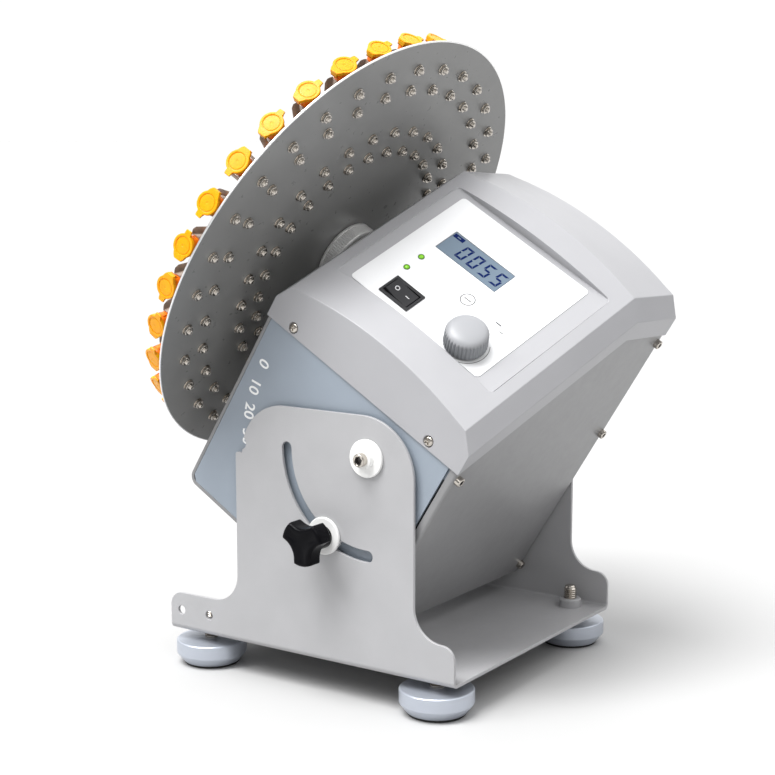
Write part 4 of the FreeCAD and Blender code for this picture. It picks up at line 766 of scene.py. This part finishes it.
def segment_outlines(width, height, stroke):
    """The bars of a seven-segment digit, mitred where they meet."""
    gap = 0.15
    middle = height / 2
    half = stroke / 2
    left = stroke + gap
    right = width - stroke - gap
    tip = stroke * 0.6

    def level_bar(outer, inner):
        return [(gap, outer), (width - gap, outer), (right, inner), (left, inner)]

    def upright_bar(outer, inner, end):
        near = middle + math.copysign(gap, end - middle)
        far = end - math.copysign(gap, end - middle)
        step = math.copysign(1, end - middle)
        return [(outer, near), (outer, far), (inner, far - step * stroke), (inner, near + step * half)]

    return {"a": level_bar(height, height - stroke), "d": level_bar(0, stroke),
            "g": [(tip, middle), (left, middle + half), (right, middle + half),
                  (width - tip, middle), (right, middle - half), (left, middle - half)],
            "f": upright_bar(0, stroke, height), "b": upright_bar(width, width - stroke, height),
            "e": upright_bar(0, stroke, 0), "c": upright_bar(width, width - stroke, 0)}


def make_display():
    """Four slanted seven-segment digits and a small flag on the display."""
    slant = 0.105
    ink = Form()
    bars = segment_outlines(5.6, 10.6, 1.35)
    level = PANE_TOP + INK_RISE
    for index, digit in enumerate("0055"):
        corner = shift(PANE_LEFT + 10.9 + DIGIT_PITCH * index, PANE_MIDDLE - PANE_HALF + 3.0, 0)
        for bar in SEGMENTS[digit]:
            ink.flat([(x + slant * y, y) for x, y in bars[bar]], level, 0, corner)
    flag = shift(PANE_LEFT + 0.7, PANE_MIDDLE + PANE_HALF - 4.0, 0)
    ink.flat([(0, 0), (7.4, 0), (7.4, 2.9), (0, 2.9)], level, 0, flag)
    ink.flat([(2.4, 1.15), (4.9, 1.15), (4.9, 1.8), (2.4, 1.8)], level + 0.02, 1, flag)
    make_piece("display_digits", ink, [LCD_INK, LCD_FACE], "head", SLOTS["display_pane"], DIAL)


def make_rocker_marks():
    """A ring and a bar printed on the rocker's two faces, which lean at its rest angle."""
    rest_turn = 10
    middle_height = 1.4
    face_slope = 1.0 / 8.0
    place = columns(ALONG, DECK_NORMAL.cross(ALONG), DECK_NORMAL, ROCKER_CENTRE) @ spin(rest_turn, "Y")
    lean = math.degrees(math.atan(face_slope))
    height = middle_height * math.cos(math.radians(lean)) + INK_RISE
    marks = Form()
    marks.band(0.95, 1.45, 0, 0, spin(lean, "Y") @ shift(-4.0, 0, height), count=32)
    marks.flat(dash(1.35, 0.25), 0, 0, spin(-lean, "Y") @ shift(4.0, 0, height))
    make_piece("rocker_marks", marks, [PRINT_PALE], "rocker", SLOTS["switch_rocker"], place)


SCALE_REACH = 84.5
CHEEK_FACE = -84.83     # the numerals' faces, just in front of the front cheek


def make_numerals():
    """The tilt scale on the front cheek: 0 to 90 degrees round the pivot."""
    form = Form()
    for value in range(0, 100, 10):
        text = bpy.data.curves.new("numeral", "FONT")
        text.body = str(value)
        text.size = 9.4
        text.align_x = "CENTER"
        text.align_y = "CENTER"
        text.offset = 0.14
        text.extrude = INK_DEPTH / 2
        holder = bpy.data.objects.new("numeral", text)
        bpy.context.scene.collection.objects.link(holder)
        mesh = bpy.data.meshes.new_from_object(holder)
        turn = math.radians(value)
        place = shift(-SCALE_REACH * math.cos(turn), -SCALE_REACH * math.sin(turn), -INK_DEPTH / 2)
        form.add([vertex.co for vertex in mesh.vertices], [list(face.vertices) for face in mesh.polygons], 0,
                 place @ spin(value - 90))
        bpy.data.objects.remove(holder)
        bpy.data.meshes.remove(mesh)
    cheek = columns(ALONG, UP_HEAD, Vector((0, -1, 0)), head_spot(0, CHEEK_FACE, 0))
    make_piece("scale_numerals", form, [PRINT_WHITE], "head", SLOTS["cheek_front"], cheek)


# ---------------------------------------------------------------------------------------------------------
# Stage, lights and camera

CAMERA_AT = Vector((514.01, -780.0, 306.5)) * MM
CAMERA_AZIMUTH = math.radians(34.08)
CAMERA_DIP = math.radians(8.92)
CAMERA_LENS = 75.67
WALL_DIM = 0.25
WALL_WHITE = 1.02
CEILING = 1.6
AIM = (0, 0, 0.16)
FLOOR_SIDE = 90
FLOOR_GREY = 0.46
SUN_FROM = Vector((-0.08, -0.38, 0.92))
SUN_POWER = 3.35
SUN_SPREAD = math.radians(30)


def make_camera():
    camera = bpy.data.objects.new("camera", bpy.data.cameras.new("camera"))
    camera.data.sensor_width = 36.0
    camera.data.lens = CAMERA_LENS
    camera.location = CAMERA_AT
    camera.rotation_euler = (math.pi / 2 - CAMERA_DIP, 0, CAMERA_AZIMUTH)
    camera.data.clip_start = 0.01
    camera.data.clip_end = 50.0
    bpy.context.scene.collection.objects.link(camera)
    bpy.context.scene.camera = camera


def area_light(name, place, target, width, height, power):
    lamp = bpy.data.lights.new(name, "AREA")
    lamp.shape = "RECTANGLE"
    lamp.size = width
    lamp.size_y = height
    lamp.energy = power
    piece = bpy.data.objects.new(name, lamp)
    piece.location = place
    piece.rotation_euler = (Vector(place) - Vector(target)).to_track_quat("Z", "Y").to_euler()
    bpy.context.scene.collection.objects.link(piece)


def make_world():
    """A studio's ceiling and walls: bright overhead, white behind the machine and dim at the other sides."""
    world = bpy.data.worlds.new("studio")
    world.use_nodes = True
    tree = world.node_tree

    def add_to_world(kind, links=(), **values):
        node = tree.nodes.new("ShaderNode" + kind)
        for target, value in values.items():
            node.inputs[target.replace("_", " ")].default_value = value
        for target, source in links:
            tree.links.new(source, node.inputs[target])
        return node

    place = add_to_world("TexCoord").outputs["Generated"]
    split = add_to_world("SeparateXYZ", [("Vector", place)])
    behind = tree.nodes.new("ShaderNodeVectorMath")
    behind.operation = "DOT_PRODUCT"
    behind.inputs[1].default_value = (-math.sin(CAMERA_AZIMUTH), math.cos(CAMERA_AZIMUTH), 0)
    tree.links.new(place, behind.inputs[0])
    wall = add_to_world("MapRange", [("Value", behind.outputs["Value"])], From_Min=0.55, From_Max=0.85,
                        To_Min=WALL_DIM, To_Max=WALL_WHITE)
    rise = add_to_world("MapRange", [("Value", split.outputs["Z"])], From_Min=0.35, From_Max=0.70)
    level = add_to_world("MapRange", [("Value", rise.outputs["Result"]), ("To Min", wall.outputs["Result"])],
                         To_Max=CEILING)
    tree.links.new(level.outputs["Result"], tree.nodes["Background"].inputs["Color"])
    bpy.context.scene.world = world


def make_stage():
    """A plain pale floor and soft studio lights."""
    bpy.ops.mesh.primitive_plane_add(size=FLOOR_SIDE, location=(0, 0, 0))
    floor = bpy.context.object
    floor.name = "floor"
    pale = new_material("floor_pale", (FLOOR_GREY, FLOOR_GREY, FLOOR_GREY), 0.9, Specular_IOR_Level=0.1)
    floor.data.materials.append(pale)
    make_world()
    bpy.context.scene.view_settings.view_transform = "Standard"
    area_light("key", (-0.9, -1.5, 1.6), AIM, 0.7, 0.5, 14)
    area_light("fill", (1.15, -0.85, 1.35), (-0.05, 0, 0.2), 0.6, 0.6, 2)
    sun = bpy.data.lights.new("overhead", "SUN")
    sun.energy = SUN_POWER
    sun.angle = SUN_SPREAD
    piece = bpy.data.objects.new("overhead", sun)
    piece.rotation_euler = SUN_FROM.to_track_quat("Z", "Y").to_euler()
    bpy.context.scene.collection.objects.link(piece)


# ---------------------------------------------------------------------------------------------------------
# The making

make_camera()
make_stage()
make_disc()
make_fasteners()
make_tubes()
make_feet()
make_knob()
make_screws()
make_dial()
make_prints()
make_display()
make_rocker_marks()
make_numerals()
